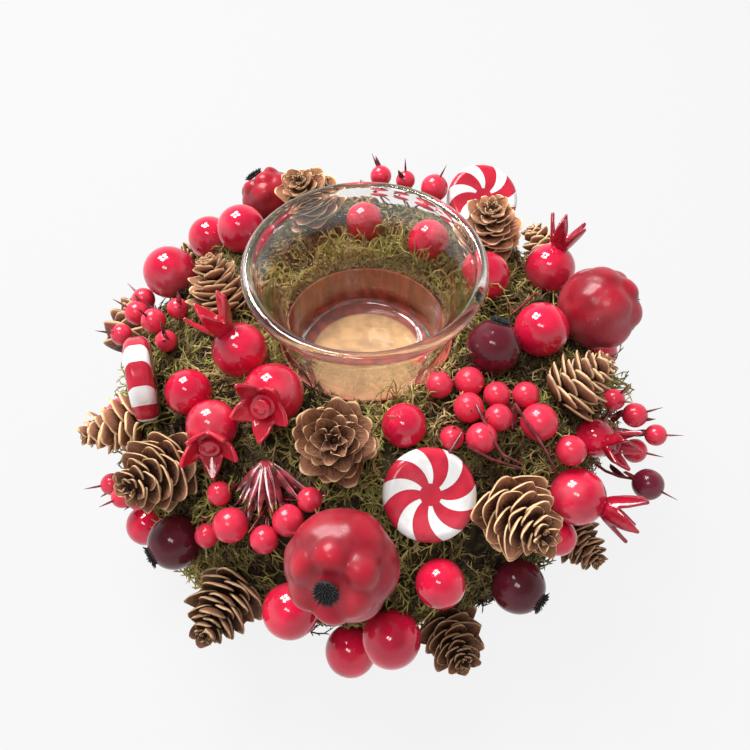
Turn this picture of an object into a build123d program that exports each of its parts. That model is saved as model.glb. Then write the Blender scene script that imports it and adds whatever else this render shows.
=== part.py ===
from build123d import *
import math
import os

# Foam mound: its section is an ellipse arc from the card up to the crest, then a flat top
MOUND_RADIUS = 46.0
MOUND_CENTRE = 24.0
FOAM_REACH = 28.0
FOAM_RISE = 30.0

# Base card under the foam
CARD_THICKNESS = 2.0
CARD_INSET = 1.0

# Moss over the foam, and the gap left by the glue
MOSS_THICKNESS = 5.7
GLUE_GAP = 0.3

# Recess for the cup and its paper lining
RECESS_RADIUS = 28.2
RECESS_DEPTH = 8.6
LINER_WALL = 0.6
LINER_STAND = 8.0

# Glass cup
CUP_HEIGHT = 47.0
CUP_FOOT_RADIUS = 23.5
CUP_FOOT_ROUND = 2.0
CUP_NECK_RADIUS = 29.5
CUP_NECK_HEIGHT = 33.0
CUP_RIM_RADIUS = 36.0
CUP_LIP = 1.9
CUP_WALL = 2.6
CUP_FLOOR = 5.5
CUP_FLOOR_RADIUS = 21.5
CUP_FLOOR_ROUND = 2.5

# Wire picks that hold berries and fruits in the foam
PICK_RADIUS = 0.6
PICK_FIT = 0.15
PICK_BITE = 8.0
SOCKET_SHARE = 0.35

# Pine cone: a core with bowl-shaped scales set on a golden spiral
CONE_LENGTH = 28.0
CONE_SCALES = 34
CONE_SPIRAL = 137.508
CONE_CORE_RADIUS = 3.2
CONE_TIP_RADIUS = 1.4
CONE_FIRST_ROOT = 2.0
CONE_LAST_ROOT = 23.0
SCALE_THICKNESS = 0.8
SCALE_BOWL_BASE = 19.0
SCALE_BOWL_TIP = 5.0
SCALE_RIM_BASE = 44.0
SCALE_RIM_TIP = 72.0
SCALE_ROOT_SHARE = 0.6
SCALE_EDGE_STEP = 15

# Large lobed fruit with a calyx at its free end
FRUIT_LOBES = 6
FRUIT_LOBE_DEPTH = 0.07
FRUIT_SQUAT = 0.90
FRUIT_POINTS = 36
FRUIT_LATITUDES = (-76, -58, -36, -12, 12, 36, 58, 76)

# Calyx: a short toothed ring
CALYX_TEETH = 8
CALYX_TOOTH_SHARE = 0.45

# Small pomegranate and its crown
CROWN_POINTS = 5
CROWN_NECK_RADIUS = 2.7
CROWN_WALL = 1.0
CROWN_SINK = 1.2

# Peppermint disc with six swirl arms let into its surface
CANDY_RADIUS = 13.0
CANDY_THICKNESS = 7.5
CANDY_ROUND = 2.6
CANDY_ARMS = 6
CANDY_HUB = 3.0
CANDY_SWIRL = 46.0
STRIPE_DEPTH = 1.0
STRIPE_GAP = 0.05
STRIPE_INNER_HALF = 10.0
STRIPE_OUTER_HALF = 15.0

# Berry sprays
TWIG_SPREAD = 0.5
TWIG_BITE = 2.5
TWIG_RADIUS = 0.5
TWIG_FIT = 0.1
THORN_LENGTH = 5.0
THORN_TIP_RADIUS = 0.1

# Layout. Ring is the angle round the upright axis. Climb is the angle up the moss section:
# 0 at the widest point, 90 at the crest, and each unit past 90 is a millimetre inward on top.
# Azimuth and elevation give the way a piece points.

# Single berries: ring, climb, diameter
RED_BERRIES = {
    "red_berries_front": (
        (256, 20, 16), (267, -18, 16), (275, 7, 17), (285, 32, 14), (286, 95, 13),
    ),
    "red_berries_left": (
        (216, 2, 13), (207, 72, 14), (157, 49, 18), (184, -4, 14),
    ),
    "red_berries_right": (
        (24, 93, 16), (355, 78, 17), (314, 18, 11), (352, -12, 14), (12, 4, 15),
    ),
    "red_berries_back": (
        (136, 70, 17), (138, 39, 16), (91, 91, 13), (58, 95, 14), (112, 4, 16), (54, 4, 15),
    ),
}

# Dark berries: ring, climb, diameter, azimuth, elevation
DARK_BERRIES = (
    (342, 95, 17, 70, 50), (229, 24, 16, 215, 0), (301, 14, 16, 320, 0), (74, -6, 15, 80, 10),
)
DARK_CALYX_RADIUS = 2.6
DARK_CALYX_HEIGHT = 1.4

# Large fruits: ring, climb, diameter, azimuth, elevation
LARGE_FRUITS = {
    "fruit_front": (266, 49, 32, 252, 34),
    "fruit_right": (5, 54, 29, 15, 5),
    "fruit_back": (118, 44, 23, 140, 40),
}
FRUIT_CALYX_RADIUS = 3.3
FRUIT_CALYX_HEIGHT = 1.8

# Small pomegranates: ring, climb, diameter, azimuth, elevation, height and mouth radius of the crown
POMEGRANATES = {
    "pomegranate_left_inner": (200, 96, 17, 150, 55, 11, 8),
    "pomegranate_left_front": (229, 96, 18, 255, 30, 6, 9),
    "pomegranate_left_outer": (222, 73, 15, 275, 12, 7, 8),
    "pomegranate_right_back": (23, 60, 17, 55, 60, 11, 7),
    "pomegranate_right": (335, 38, 12, 310, 30, 9, 7),
    "pomegranate_right_front": (320, 34, 17, 335, 0, 11, 8),
}

# Peppermint discs: ring, climb, azimuth, elevation
PEPPERMINTS = {
    "peppermint_front": (287, 67, 275, 62),
    "peppermint_back": (56, 50, 275, 62),
    "peppermint_left": (197, 57, 195, 5),
}

# Pine cones: ring, climb, length, azimuth, elevation
PINE_CONES = {
    "cone_back_left": (112, 79, 27, 230, 70),
    "cone_left_back": (168, 87, 24, 120, 60),
    "cone_left": (200, 31, 22, 200, 2),
    "cone_left_front": (221, 47, 27, 240, 38),
    "cone_front": (261, 85, 28, 270, 60),
    "cone_right_back": (41, 78, 27, 250, 78),
    "cone_right_outer": (38, 34, 20, 120, 25),
    "cone_right": (342, 60, 24, 20, 35),
    "cone_front_left": (243, 14, 25, 250, 15),
    "cone_front_right": (303, 48, 28, 298, 35),
    "cone_front_low": (287, -3, 23, 285, 32),
    "cone_right_low": (321, -4, 19, 300, 10),
    "cone_back": (94, 14, 25, 180, 10),
    "cone_back_low": (136, 6, 25, 195, 20),
    "cone_left_low": (163, 8, 25, 95, 5),
    "cone_right_side": (30, 2, 24, 110, 5),
}

# Sprays: ring and climb of their middle, whether the twigs end in thorns, then berries as
# ring, climb, height above the moss, diameter
SPRAYS = {
    "spray_left": (173, 50, True, (
        (164, 37, 10, 8), (172, 46, 11, 8), (177, 58, 9, 8), (179, 44, 13, 7),
        (172, 66, 6, 7), (184, 64, 6, 7),
    )),
    "spray_front_left": (241, 74, False, (
        (234, 54, 6, 7), (240, 46, 7, 10), (248, 46, 6, 8), (235, 35, 6, 7),
        (252, 56, 5, 9), (256, 66, 5, 7),
    )),
    "spray_right": (300, 97, False, (
        (310, 102, 8, 8), (323, 97, 6, 9), (312, 91, 7, 9), (307, 78, 8, 9), (300, 85, 6, 7),
    )),
    "spray_right_front": (325, 50, False, (
        (324, 87, 6, 8), (330, 77, 6, 8), (324, 67, 8, 11), (316, 80, 8, 8), (324, 51, 10, 9),
    )),
    "spray_far_right": (343, 14, True, (
        (347, 34, 9, 7), (346, 25, 14, 8), (344, 18, 20, 7), (342, 12, 14, 8), (335, 12, 20, 10),
    )),
    "spray_back": (76, 50, True, (
        (69, 60, 12, 10), (78, 62, 13, 7), (86, 54, 13, 8),
    )),
    "spray_far_left": (208, 8, True, (
        (207, 13, 12, 7), (212, 17, 11, 7), (216, 23, 9, 6),
    )),
}

MOSS_REACH = FOAM_REACH + GLUE_GAP + MOSS_THICKNESS
MOSS_RISE = FOAM_RISE + GLUE_GAP + MOSS_THICKNESS
FOAM_TOP = MOUND_CENTRE + FOAM_RISE
MOSS_TOP = MOUND_CENTRE + MOSS_RISE
RECESS_FLOOR = FOAM_TOP - RECESS_DEPTH
LINER_RADIUS = RECESS_RADIUS - GLUE_GAP
LINER_TOP = FOAM_TOP + LINER_STAND
CUP_SEAT = RECESS_FLOOR + LINER_WALL

SETTLE_START = 40.0
SETTLE_STEPS = 12
UPRIGHT = (Align.CENTER, Align.CENTER, Align.MIN)


def direction(azimuth, elevation):
    around = math.radians(azimuth)
    up = math.radians(elevation)
    return Vector(math.cos(up) * math.cos(around), math.cos(up) * math.sin(around), math.sin(up))


def polar(radius, angle):
    return Vector(radius * math.cos(math.radians(angle)), radius * math.sin(math.radians(angle)))


def blend(start, end, share):
    return start + (end - start) * share


def turned(*outline):
    """Solid of revolution about the upright axis from a closed outline of (radius, height)."""
    return revolve(Plane.XZ * make_face(Curve() + list(outline)), Axis.Z)


def rod(start, end, radius):
    along = end - start
    return Plane(origin=start, z_dir=along).location * Cylinder(radius, along.length, align=UPRIGHT)


def facing(axis):
    return Plane(origin=(0, 0, 0), z_dir=axis)


def mound_arc(reach, rise):
    """The section's outer arc, from the card's top up to the crest."""
    foot = math.degrees(math.asin((CARD_THICKNESS - MOUND_CENTRE) / rise))
    return EllipticalCenterArc((MOUND_RADIUS, MOUND_CENTRE), reach, rise, foot, arc_size=90 - foot)


def moss_frame(ring, climb):
    """Plane on the moss: z points out of it and x runs round the ring."""
    angle = math.radians(min(climb, 90))
    inward = max(0, climb - 90)
    outward = Vector(*polar(1, ring))
    upward = Vector(0, 0, 1)
    radius = MOUND_RADIUS + MOSS_REACH * math.cos(angle) - inward
    height = MOUND_CENTRE + MOSS_RISE * math.sin(angle)
    normal = outward * (math.cos(angle) / MOSS_REACH) + upward * (math.sin(angle) / MOSS_RISE)
    return Plane(origin=outward * radius + upward * height, x_dir=upward.cross(outward), z_dir=normal)


def moss_distance(point):
    """How far a point lies outside the moss."""
    across = (math.hypot(point.X, point.Y) - MOUND_RADIUS) / MOSS_REACH
    up = (point.Z - MOUND_CENTRE) / MOSS_RISE
    if across <= 0:
        return point.Z - MOSS_TOP
    level = math.hypot(across, up)
    slope = math.hypot(across / MOSS_REACH, up / MOSS_RISE) / level
    return (level - 1) / slope


def settle(ring, climb, axis, balls):
    """Plane of a piece that points along axis, lowered on to the moss until its balls touch it."""
    frame = moss_frame(ring, climb)
    turn = facing(axis)
    spots = [(turn.from_local_coords(centre), radius) for centre, radius in balls]
    lift = SETTLE_START
    for _ in range(SETTLE_STEPS):
        centre = frame.origin + frame.z_dir * lift
        gap = min(moss_distance(centre + spot) - radius for spot, radius in spots)
        lift -= gap - GLUE_GAP
    return Plane(origin=frame.origin + frame.z_dir * lift, z_dir=axis)


def pick(ring, climb, centre, socket):
    """Wire from inside a piece, straight down through the moss into the foam."""
    frame = moss_frame(ring, climb)
    start = centre - frame.z_dir * socket
    end = frame.origin - frame.z_dir * (MOSS_THICKNESS + GLUE_GAP + PICK_BITE)
    return start, end


def drilled(piece, wire):
    start, end = wire
    return piece - rod(start, end, PICK_RADIUS + PICK_FIT)


def bead(radius, hole, socket):
    """Round berry with a hole from below that ends at this height."""
    mouth = Vector(hole, -math.sqrt(radius * radius - hole * hole))
    return turned(
        ThreePointArc(mouth, (radius, 0), (0, radius)),
        Line((0, radius), (0, socket)),
        Line((0, socket), (hole, socket)),
        Line((hole, socket), mouth),
    )


def threaded_bead(radius, hole):
    """Round berry with a hole right through it."""
    mouth = Vector(hole, math.sqrt(radius * radius - hole * hole))
    foot = Vector(hole, -mouth.Y)
    return turned(ThreePointArc(foot, (radius, 0), mouth), Line(mouth, foot))


def twig(length, thorn):
    """Straight twig standing on z = 0, with a tapering thorn past its length where there is one."""
    if thorn == 0:
        return Cylinder(TWIG_RADIUS, length, align=UPRIGHT)
    side = Vector(TWIG_RADIUS, length)
    tip = Vector(THORN_TIP_RADIUS, length + thorn)
    return turned(
        Line((0, 0), (TWIG_RADIUS, 0)),
        Line((TWIG_RADIUS, 0), side),
        Line(side, tip),
        Line(tip, (0, length + thorn)),
        Line((0, length + thorn), (0, 0)),
    )


def scale_bowl(index):
    """Plane, bowl radius and half spread of one cone scale, a round patch of a bowl on the axis."""
    share = (index + 0.5) / CONE_SCALES
    root = blend(CONE_FIRST_ROOT, CONE_LAST_ROOT, share)
    bowl = blend(SCALE_BOWL_BASE, SCALE_BOWL_TIP, share)
    rim = blend(SCALE_RIM_BASE, SCALE_RIM_TIP, share)
    heel = math.degrees(math.asin(CONE_TIP_RADIUS * SCALE_ROOT_SHARE / bowl))
    middle = Vector(0, 0, root + bowl - CONE_LENGTH / 2)
    patch = Plane(origin=middle, z_dir=direction(index * CONE_SPIRAL, (rim + heel) / 2 - 90))
    return patch, bowl, math.radians((rim - heel) / 2)


def cone_balls(length):
    """Points round the edges of all scales, on which a cone of this length rests."""
    size = length / CONE_LENGTH
    balls = []
    for angle in range(0, 360, SCALE_EDGE_STEP):
        stalk = polar(CONE_CORE_RADIUS, angle) - Vector(0, 0, CONE_LENGTH / 2)
        balls.append((stalk * size, 0))
        for index in range(CONE_SCALES):
            patch, bowl, spread = scale_bowl(index)
            spot = polar(bowl * math.sin(spread), angle) + Vector(0, 0, bowl * math.cos(spread))
            balls.append((patch.from_local_coords(spot) * size, SCALE_THICKNESS / 2 * size))
    return balls


def cone_scale(index):
    """One scale, as thick all over."""
    patch, bowl, spread = scale_bowl(index)
    outer = bowl + SCALE_THICKNESS / 2
    inner = bowl - SCALE_THICKNESS / 2
    half = (math.sin(spread / 2), math.cos(spread / 2))
    full = (math.sin(spread), math.cos(spread))
    back = ThreePointArc((0, outer), Vector(*half) * outer, Vector(*full) * outer)
    front = ThreePointArc((0, inner), Vector(*half) * inner, Vector(*full) * inner)
    edges = (back, Line(back @ 1, front @ 1), front, Line(front @ 0, back @ 0))
    return patch.location * turned(*edges)


def pine_cone():
    """A cone with its middle at the origin and its tip up."""
    rise = CONE_LAST_ROOT
    core = Cone(CONE_CORE_RADIUS, CONE_TIP_RADIUS, rise, align=UPRIGHT) + Pos(0, 0, rise) * Sphere(CONE_TIP_RADIUS)
    scales = [cone_scale(index) for index in range(CONE_SCALES)]
    return Pos(0, 0, -CONE_LENGTH / 2) * core + scales


def calyx(radius, height):
    """A low toothed ring standing on z = 0."""
    notch = Pos(radius, 0) * Rot(0, 0, 45) * Rectangle(radius * CALYX_TOOTH_SHARE, radius * CALYX_TOOTH_SHARE)
    star = Circle(radius) - PolarLocations(0, CALYX_TEETH) * notch
    return extrude(star, height)


def lobed_fruit(diameter):
    """Fruit with its free end up and flat ends top and bottom."""
    sections = []
    for latitude in FRUIT_LATITUDES:
        tilt = math.radians(latitude)
        radius = diameter / 2 * math.cos(tilt)
        depth = FRUIT_LOBE_DEPTH * (1 + math.sin(tilt)) / 2
        points = []
        for step in range(FRUIT_POINTS):
            angle = 360 / FRUIT_POINTS * step
            swell = 1 - depth * (1 + math.cos(math.radians(FRUIT_LOBES * angle)))
            points.append(polar(radius * swell, angle))
        ring = make_face(Spline(*points, periodic=True))
        sections.append(Pos(0, 0, fruit_end(diameter, latitude)) * ring)
    return loft(sections)


def fruit_end(diameter, latitude):
    return diameter / 2 * FRUIT_SQUAT * math.sin(math.radians(latitude))


def pomegranate(diameter, crown_height, crown_mouth):
    """Round body with a five-pointed crown flaring from its top."""
    base = diameter / 2 - CROWN_SINK
    top = base + crown_height
    wall = Vector(CROWN_WALL, 0)
    neck = Vector(CROWN_NECK_RADIUS, base)
    waist = Vector(CROWN_NECK_RADIUS + CROWN_WALL / 2, base + crown_height / 2)
    mouth = Vector(crown_mouth, top)
    cup = turned(
        Line(neck - wall, neck),
        ThreePointArc(neck, waist, mouth),
        Line(mouth, mouth - wall),
        ThreePointArc(mouth - wall, waist - wall, neck - wall),
    )
    tooth = Polygon(
        (-crown_mouth * math.sin(math.pi / CROWN_POINTS), top + CROWN_WALL),
        (crown_mouth * math.sin(math.pi / CROWN_POINTS), top + CROWN_WALL),
        (0, base + crown_height * 0.3),
        align=None,
    )
    notch = extrude(Plane.XZ * tooth, crown_mouth * 2)
    return Sphere(diameter / 2) + (cup - PolarLocations(0, CROWN_POINTS) * notch)


def candy_disc(inset):
    """Rounded disc about the origin, smaller all round by inset."""
    disc = Cylinder(CANDY_RADIUS - inset, CANDY_THICKNESS - 2 * inset)
    return fillet(disc.edges().filter_by(GeomType.CIRCLE), CANDY_ROUND - inset)


def swirl_arm(start, gap):
    """One swirl arm through the whole disc, narrower all round by gap."""
    reach = CANDY_RADIUS * 1.2
    middle = (CANDY_HUB + reach) / 2
    inner = STRIPE_INNER_HALF - math.degrees(gap / CANDY_HUB)
    centre = blend(STRIPE_INNER_HALF, STRIPE_OUTER_HALF, 0.6) - math.degrees(gap / middle)
    outer = STRIPE_OUTER_HALF - math.degrees(gap / reach)
    bend = start + CANDY_SWIRL * 0.32
    end = start + CANDY_SWIRL
    first = ThreePointArc(
        polar(CANDY_HUB + gap, start - inner), polar(middle, bend - centre), polar(reach, end - outer)
    )
    rim = ThreePointArc(first @ 1, polar(reach, end), polar(reach, end + outer))
    last = ThreePointArc(
        rim @ 1, polar(middle, bend + centre), polar(CANDY_HUB + gap, start + inner)
    )
    tip = ThreePointArc(last @ 1, polar(CANDY_HUB + gap, start), first @ 0)
    return extrude(make_face(Curve() + [first, rim, last, tip]), CANDY_THICKNESS, both=True)


def stripes(depth, gap):
    """All swirl arms as skins of the disc, this deep."""
    shell = candy_disc(0) - candy_disc(depth)
    spacing = 360 / CANDY_ARMS
    return [shell & swirl_arm(spacing * arm, gap) for arm in range(CANDY_ARMS)]


def glass_cup():
    foot = Vector(CUP_FOOT_RADIUS, 0)
    neck = Vector(CUP_NECK_RADIUS, CUP_NECK_HEIGHT)
    rim = Vector(CUP_RIM_RADIUS, CUP_HEIGHT - CUP_LIP)
    lip = Vector(CUP_RIM_RADIUS - CUP_LIP, CUP_HEIGHT)
    brim = Vector(CUP_RIM_RADIUS - 2 * CUP_LIP, CUP_HEIGHT - CUP_LIP)
    throat = Vector(CUP_NECK_RADIUS - CUP_WALL, CUP_NECK_HEIGHT)
    floor = Vector(CUP_FLOOR_RADIUS, CUP_FLOOR)
    outline = make_face(
        Curve()
        + [
            Line((0, 0), foot),
            Line(foot, neck),
            TangentArc(neck, rim, tangent=neck - foot),
            ThreePointArc(rim, lip, brim),
            TangentArc(throat, brim, tangent=throat - floor),
            Line(throat, floor),
            Line(floor, (0, CUP_FLOOR)),
            Line((0, CUP_FLOOR), (0, 0)),
        ]
    )
    corners = outline.vertices()
    outline = fillet(corners.sort_by_distance(floor)[0], CUP_FLOOR_ROUND)
    outline = fillet(outline.vertices().sort_by_distance(foot)[0], CUP_FOOT_ROUND)
    return Pos(0, 0, CUP_SEAT) * revolve(Plane.XZ * outline, Axis.Z)


def spray_parts(ring, climb, thorny, berries):
    """Twigs leaning out of one patch of moss, the berries on them, and the lines the twigs follow."""
    twigs = []
    fruits = []
    lines = []
    for berry_ring, berry_climb, height, diameter in berries:
        radius = diameter / 2
        seat = moss_frame(berry_ring, berry_climb)
        centre = seat.origin + seat.z_dir * height
        foot = moss_frame(blend(ring, berry_ring, TWIG_SPREAD), blend(climb, berry_climb, TWIG_SPREAD))
        along = (centre - foot.origin).normalized()
        start = foot.origin - along * TWIG_BITE
        length = (centre - start).length
        root = Plane(origin=start, z_dir=along)
        berry = Plane(origin=centre, z_dir=along)
        if thorny:
            twigs.append(root.location * twig(length + radius, THORN_LENGTH))
            fruits.append(berry.location * threaded_bead(radius, TWIG_RADIUS + TWIG_FIT))
        else:
            twigs.append(root.location * twig(length, 0))
            fruits.append(berry.location * bead(radius, TWIG_RADIUS + TWIG_FIT, TWIG_FIT))
        lines.append((start, centre))
    return twigs, fruits, lines


def single_berries():
    """Red berries by group, and their wires."""
    groups = {}
    wires = []
    for name, places in RED_BERRIES.items():
        groups[name] = []
        for ring, climb, diameter in places:
            radius = diameter / 2
            seat = settle(ring, climb, moss_frame(ring, climb).z_dir, [(Vector(0, 0, 0), radius)])
            wire = pick(ring, climb, seat.origin, radius * SOCKET_SHARE)
            socket = -radius * SOCKET_SHARE + PICK_FIT
            groups[name].append(seat.location * bead(radius, PICK_RADIUS + PICK_FIT, socket))
            wires.append(wire)
    return groups, wires


def dark_berries():
    bodies = []
    caps = []
    wires = []
    for ring, climb, diameter, azimuth, elevation in DARK_BERRIES:
        radius = diameter / 2
        seat = settle(ring, climb, direction(azimuth, elevation), [(Vector(0, 0, 0), radius)])
        flat = math.sqrt(radius * radius - DARK_CALYX_RADIUS * DARK_CALYX_RADIUS)
        trim = Pos(0, 0, flat) * Cylinder(radius, radius, align=UPRIGHT)
        wire = pick(ring, climb, seat.origin, radius * SOCKET_SHARE)
        bodies.append(drilled(seat.location * (Sphere(radius) - trim), wire))
        caps.append(seat.location * Pos(0, 0, flat) * calyx(DARK_CALYX_RADIUS, DARK_CALYX_HEIGHT))
        wires.append(wire)
    return bodies, caps, wires


def main():
    os.makedirs("parts", exist_ok=True)
    nodes = {}
    wires = []
    twig_lines = []

    groups, berry_wires = single_berries()
    nodes.update(groups)
    wires += berry_wires

    nodes["dark_berries"], nodes["dark_berry_calyxes"], dark_wires = dark_berries()
    wires += dark_wires

    calyxes = nodes["fruit_calyxes"] = []
    for name, (ring, climb, diameter, azimuth, elevation) in LARGE_FRUITS.items():
        seat = settle(ring, climb, direction(azimuth, elevation), [(Vector(0, 0, 0), diameter / 2)])
        wire = pick(ring, climb, seat.origin, diameter / 2 * SOCKET_SHARE)
        end = Pos(0, 0, fruit_end(diameter, FRUIT_LATITUDES[-1]))
        nodes[name] = [drilled(seat.location * lobed_fruit(diameter), wire)]
        calyxes.append(seat.location * end * calyx(FRUIT_CALYX_RADIUS, FRUIT_CALYX_HEIGHT))
        wires.append(wire)

    for name, (ring, climb, diameter, azimuth, elevation, *crown) in POMEGRANATES.items():
        seat = settle(ring, climb, direction(azimuth, elevation), [(Vector(0, 0, 0), diameter / 2)])
        wire = pick(ring, climb, seat.origin, diameter / 2 * SOCKET_SHARE)
        nodes[name] = [drilled(seat.location * pomegranate(diameter, *crown), wire)]
        wires.append(wire)

    edge = CANDY_RADIUS - CANDY_ROUND
    rims = [
        (polar(edge, angle) + Vector(0, 0, side * (CANDY_THICKNESS / 2 - CANDY_ROUND)), CANDY_ROUND)
        for angle in range(0, 360, 15)
        for side in (-1, 1)
    ]
    red = candy_disc(0) - stripes(STRIPE_DEPTH, 0)
    white = stripes(STRIPE_DEPTH - STRIPE_GAP, STRIPE_GAP)
    for name, (ring, climb, azimuth, elevation) in PEPPERMINTS.items():
        seat = settle(ring, climb, direction(azimuth, elevation), rims)
        nodes[name] = [seat.location * red]
        nodes[name + "_stripes"] = [seat.location * arm for arm in white]

    cone = pine_cone()
    for name, (ring, climb, length, azimuth, elevation) in PINE_CONES.items():
        seat = settle(ring, climb, direction(azimuth, elevation), cone_balls(length))
        nodes[name] = [seat.location * scale(cone, by=length / CONE_LENGTH)]

    for name, (ring, climb, thorny, berries) in SPRAYS.items():
        twigs, fruits, lines = spray_parts(ring, climb, thorny, berries)
        nodes[name + "_twigs"] = twigs
        nodes[name + "_berries"] = fruits
        twig_lines += lines

    nodes["pick_wires"] = [rod(start, end, PICK_RADIUS) for start, end in wires]
    wire_drills = [rod(start, end, PICK_RADIUS + PICK_FIT) for start, end in wires]
    twig_drills = [rod(start, end, TWIG_RADIUS + TWIG_FIT) for start, end in twig_lines]

    foam_arc = mound_arc(FOAM_REACH, FOAM_RISE)
    foam = turned(
        Line((0, CARD_THICKNESS), foam_arc @ 0),
        foam_arc,
        Line(foam_arc @ 1, (RECESS_RADIUS, FOAM_TOP)),
        Line((RECESS_RADIUS, FOAM_TOP), (RECESS_RADIUS, RECESS_FLOOR)),
        Line((RECESS_RADIUS, RECESS_FLOOR), (0, RECESS_FLOOR)),
        Line((0, RECESS_FLOOR), (0, CARD_THICKNESS)),
    )
    nodes["foam_core"] = [foam - wire_drills]

    card_radius = (foam_arc @ 0).X - CARD_INSET
    nodes["base_card"] = [Cylinder(card_radius, CARD_THICKNESS, align=UPRIGHT)]

    outer = mound_arc(MOSS_REACH, MOSS_RISE)
    inner = mound_arc(FOAM_REACH + GLUE_GAP, FOAM_RISE + GLUE_GAP)
    moss_edge = Vector(RECESS_RADIUS, MOSS_TOP)
    moss_heel = Vector(RECESS_RADIUS, FOAM_TOP + GLUE_GAP)
    moss = turned(
        Line(inner @ 0, outer @ 0),
        outer,
        Line(outer @ 1, moss_edge),
        Line(moss_edge, moss_heel),
        Line(moss_heel, inner @ 1),
        inner,
    )
    nodes["moss_blanket"] = [moss - wire_drills - twig_drills]

    liner_edge = Vector(LINER_RADIUS, LINER_TOP)
    wall = Vector(LINER_WALL, 0)
    liner_corner = Vector(LINER_RADIUS - LINER_WALL, CUP_SEAT)
    nodes["recess_liner"] = [
        turned(
            Line((0, RECESS_FLOOR), (LINER_RADIUS, RECESS_FLOOR)),
            Line((LINER_RADIUS, RECESS_FLOOR), liner_edge),
            Line(liner_edge, liner_edge - wall),
            Line(liner_edge - wall, liner_corner),
            Line(liner_corner, (0, CUP_SEAT)),
            Line((0, CUP_SEAT), (0, RECESS_FLOOR)),
        )
    ]
    nodes["glass_cup"] = [glass_cup()]

    for name, pieces in nodes.items():
        solids = [solid for piece in pieces for solid in piece.solids()]
        export_step(Compound(solids), f"parts/{name}.step")


if __name__ == "__main__":
    main()
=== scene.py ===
import math
import random

import bmesh
import bpy
from bpy.props import FloatProperty, FloatVectorProperty, IntProperty, PointerProperty
from mathutils import Matrix, Vector, noise


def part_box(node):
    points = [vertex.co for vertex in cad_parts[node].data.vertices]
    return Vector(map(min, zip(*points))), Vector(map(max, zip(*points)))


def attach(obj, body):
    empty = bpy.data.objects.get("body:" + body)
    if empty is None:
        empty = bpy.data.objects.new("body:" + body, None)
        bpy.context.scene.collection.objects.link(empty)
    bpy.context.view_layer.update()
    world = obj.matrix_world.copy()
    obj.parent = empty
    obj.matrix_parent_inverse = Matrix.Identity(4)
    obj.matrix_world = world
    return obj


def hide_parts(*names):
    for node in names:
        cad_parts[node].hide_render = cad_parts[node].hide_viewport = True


bl_info = {
    "name": "Candle ring",
    "version": (1, 0, 0),
    "blender": (4, 5, 0),
    "location": "View3D > Sidebar > Candle ring",
    "description": "Dresses a moss candle ring with cones, berries, fruits, peppermints and a glass cup",
    "category": "Add Mesh",
}

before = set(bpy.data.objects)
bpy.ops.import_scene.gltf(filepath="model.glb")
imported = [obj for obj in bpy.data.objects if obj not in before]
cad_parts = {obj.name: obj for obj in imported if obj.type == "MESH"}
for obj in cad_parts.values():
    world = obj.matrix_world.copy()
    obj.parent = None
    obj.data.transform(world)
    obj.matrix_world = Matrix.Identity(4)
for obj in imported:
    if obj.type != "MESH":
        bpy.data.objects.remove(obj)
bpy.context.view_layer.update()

MM = 0.001
RING = "ring"
CUP = "cup"

# Pine cones: azimuth and elevation that each points to, in degrees, and a gain that paints its scales
# lighter or darker for the light that falls on it
CONES = {
    "cone_back_left": (230, 70, 1.9),
    "cone_left_back": (120, 60, 1.45),
    "cone_left": (200, 2, 1.45),
    "cone_left_front": (240, 38, 1.1),
    "cone_front": (270, 60, 1.2),
    "cone_right_back": (250, 78, 2.5),
    "cone_right_outer": (120, 25, 1.7),
    "cone_right": (20, 35, 1.25),
    "cone_front_left": (250, 15, 0.75),
    "cone_front_right": (298, 35, 1.45),
    "cone_front_low": (285, 32, 0.85),
    "cone_right_low": (300, 10, 1.0),
    "cone_back": (180, 10, 1.0),
    "cone_back_low": (195, 20, 1.0),
    "cone_left_low": (95, 5, 1.0),
    "cone_right_side": (110, 5, 1.0),
}

# Pomegranates: azimuth and elevation, diameter, then height and mouth radius of the crown, in mm
POMEGRANATES = {
    "pomegranate_left_inner": (150, 55, 17, 11, 8),
    "pomegranate_left_front": (255, 30, 18, 6, 9),
    "pomegranate_left_outer": (275, 12, 15, 7, 8),
    "pomegranate_right_back": (55, 60, 17, 11, 7),
    "pomegranate_right": (310, 30, 12, 9, 7),
    "pomegranate_right_front": (335, 0, 17, 11, 8),
}
# Painted light: the crowns on the left get a lighter copy of the crown red, for the light that falls on them
PAINTED_LIGHT_CROWNS = ("pomegranate_left_inner", "pomegranate_left_front", "pomegranate_left_outer")
FRUITS = ("fruit_front", "fruit_right", "fruit_back")
BERRY_GROUPS = ("red_berries_front", "red_berries_left", "red_berries_right", "red_berries_back")
PEPPERMINTS = ("peppermint_front", "peppermint_back", "peppermint_left")
SPRAYS = (
    "spray_left", "spray_front_left", "spray_right", "spray_right_front", "spray_far_right", "spray_back",
    "spray_far_left",
)

# Moss section in mm, as in the CAD: an ellipse arc round the mound's middle, then a flat top
MOUND_RADIUS = 46.0
MOUND_CENTRE = 24.0
MOSS_REACH = 34.0
MOSS_RISE = 36.0
MOSS_DEPTH = 5.7
MOSS_FOOT = 2.0
MOSS_LOWEST = -31.0
RECESS_RADIUS = 28.2
MOSS_HIGHEST = 90 + MOUND_RADIUS - RECESS_RADIUS - 1.5

# Feathery tufts that stand out of the moss: degrees round the ring, climb, and stand in mm
MOSS_TUFTS = (
    (355, 27, 12), (351, 24, 8), (230, 0, 7), (234, -4, 6), (199, 19, 9), (186, 31, 8), (233, 44, 6),
    (189, 105, 7), (352, 104, 7), (20, 104, 8), (75, 103, 8), (105, 104, 9), (150, 103, 7), (287, 98, 5),
)

# Sprays whose largest berries are dark: radius in mm past which a berry is one of them
RIPE_SPRAYS = {"spray_far_right": 4.6}

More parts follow.
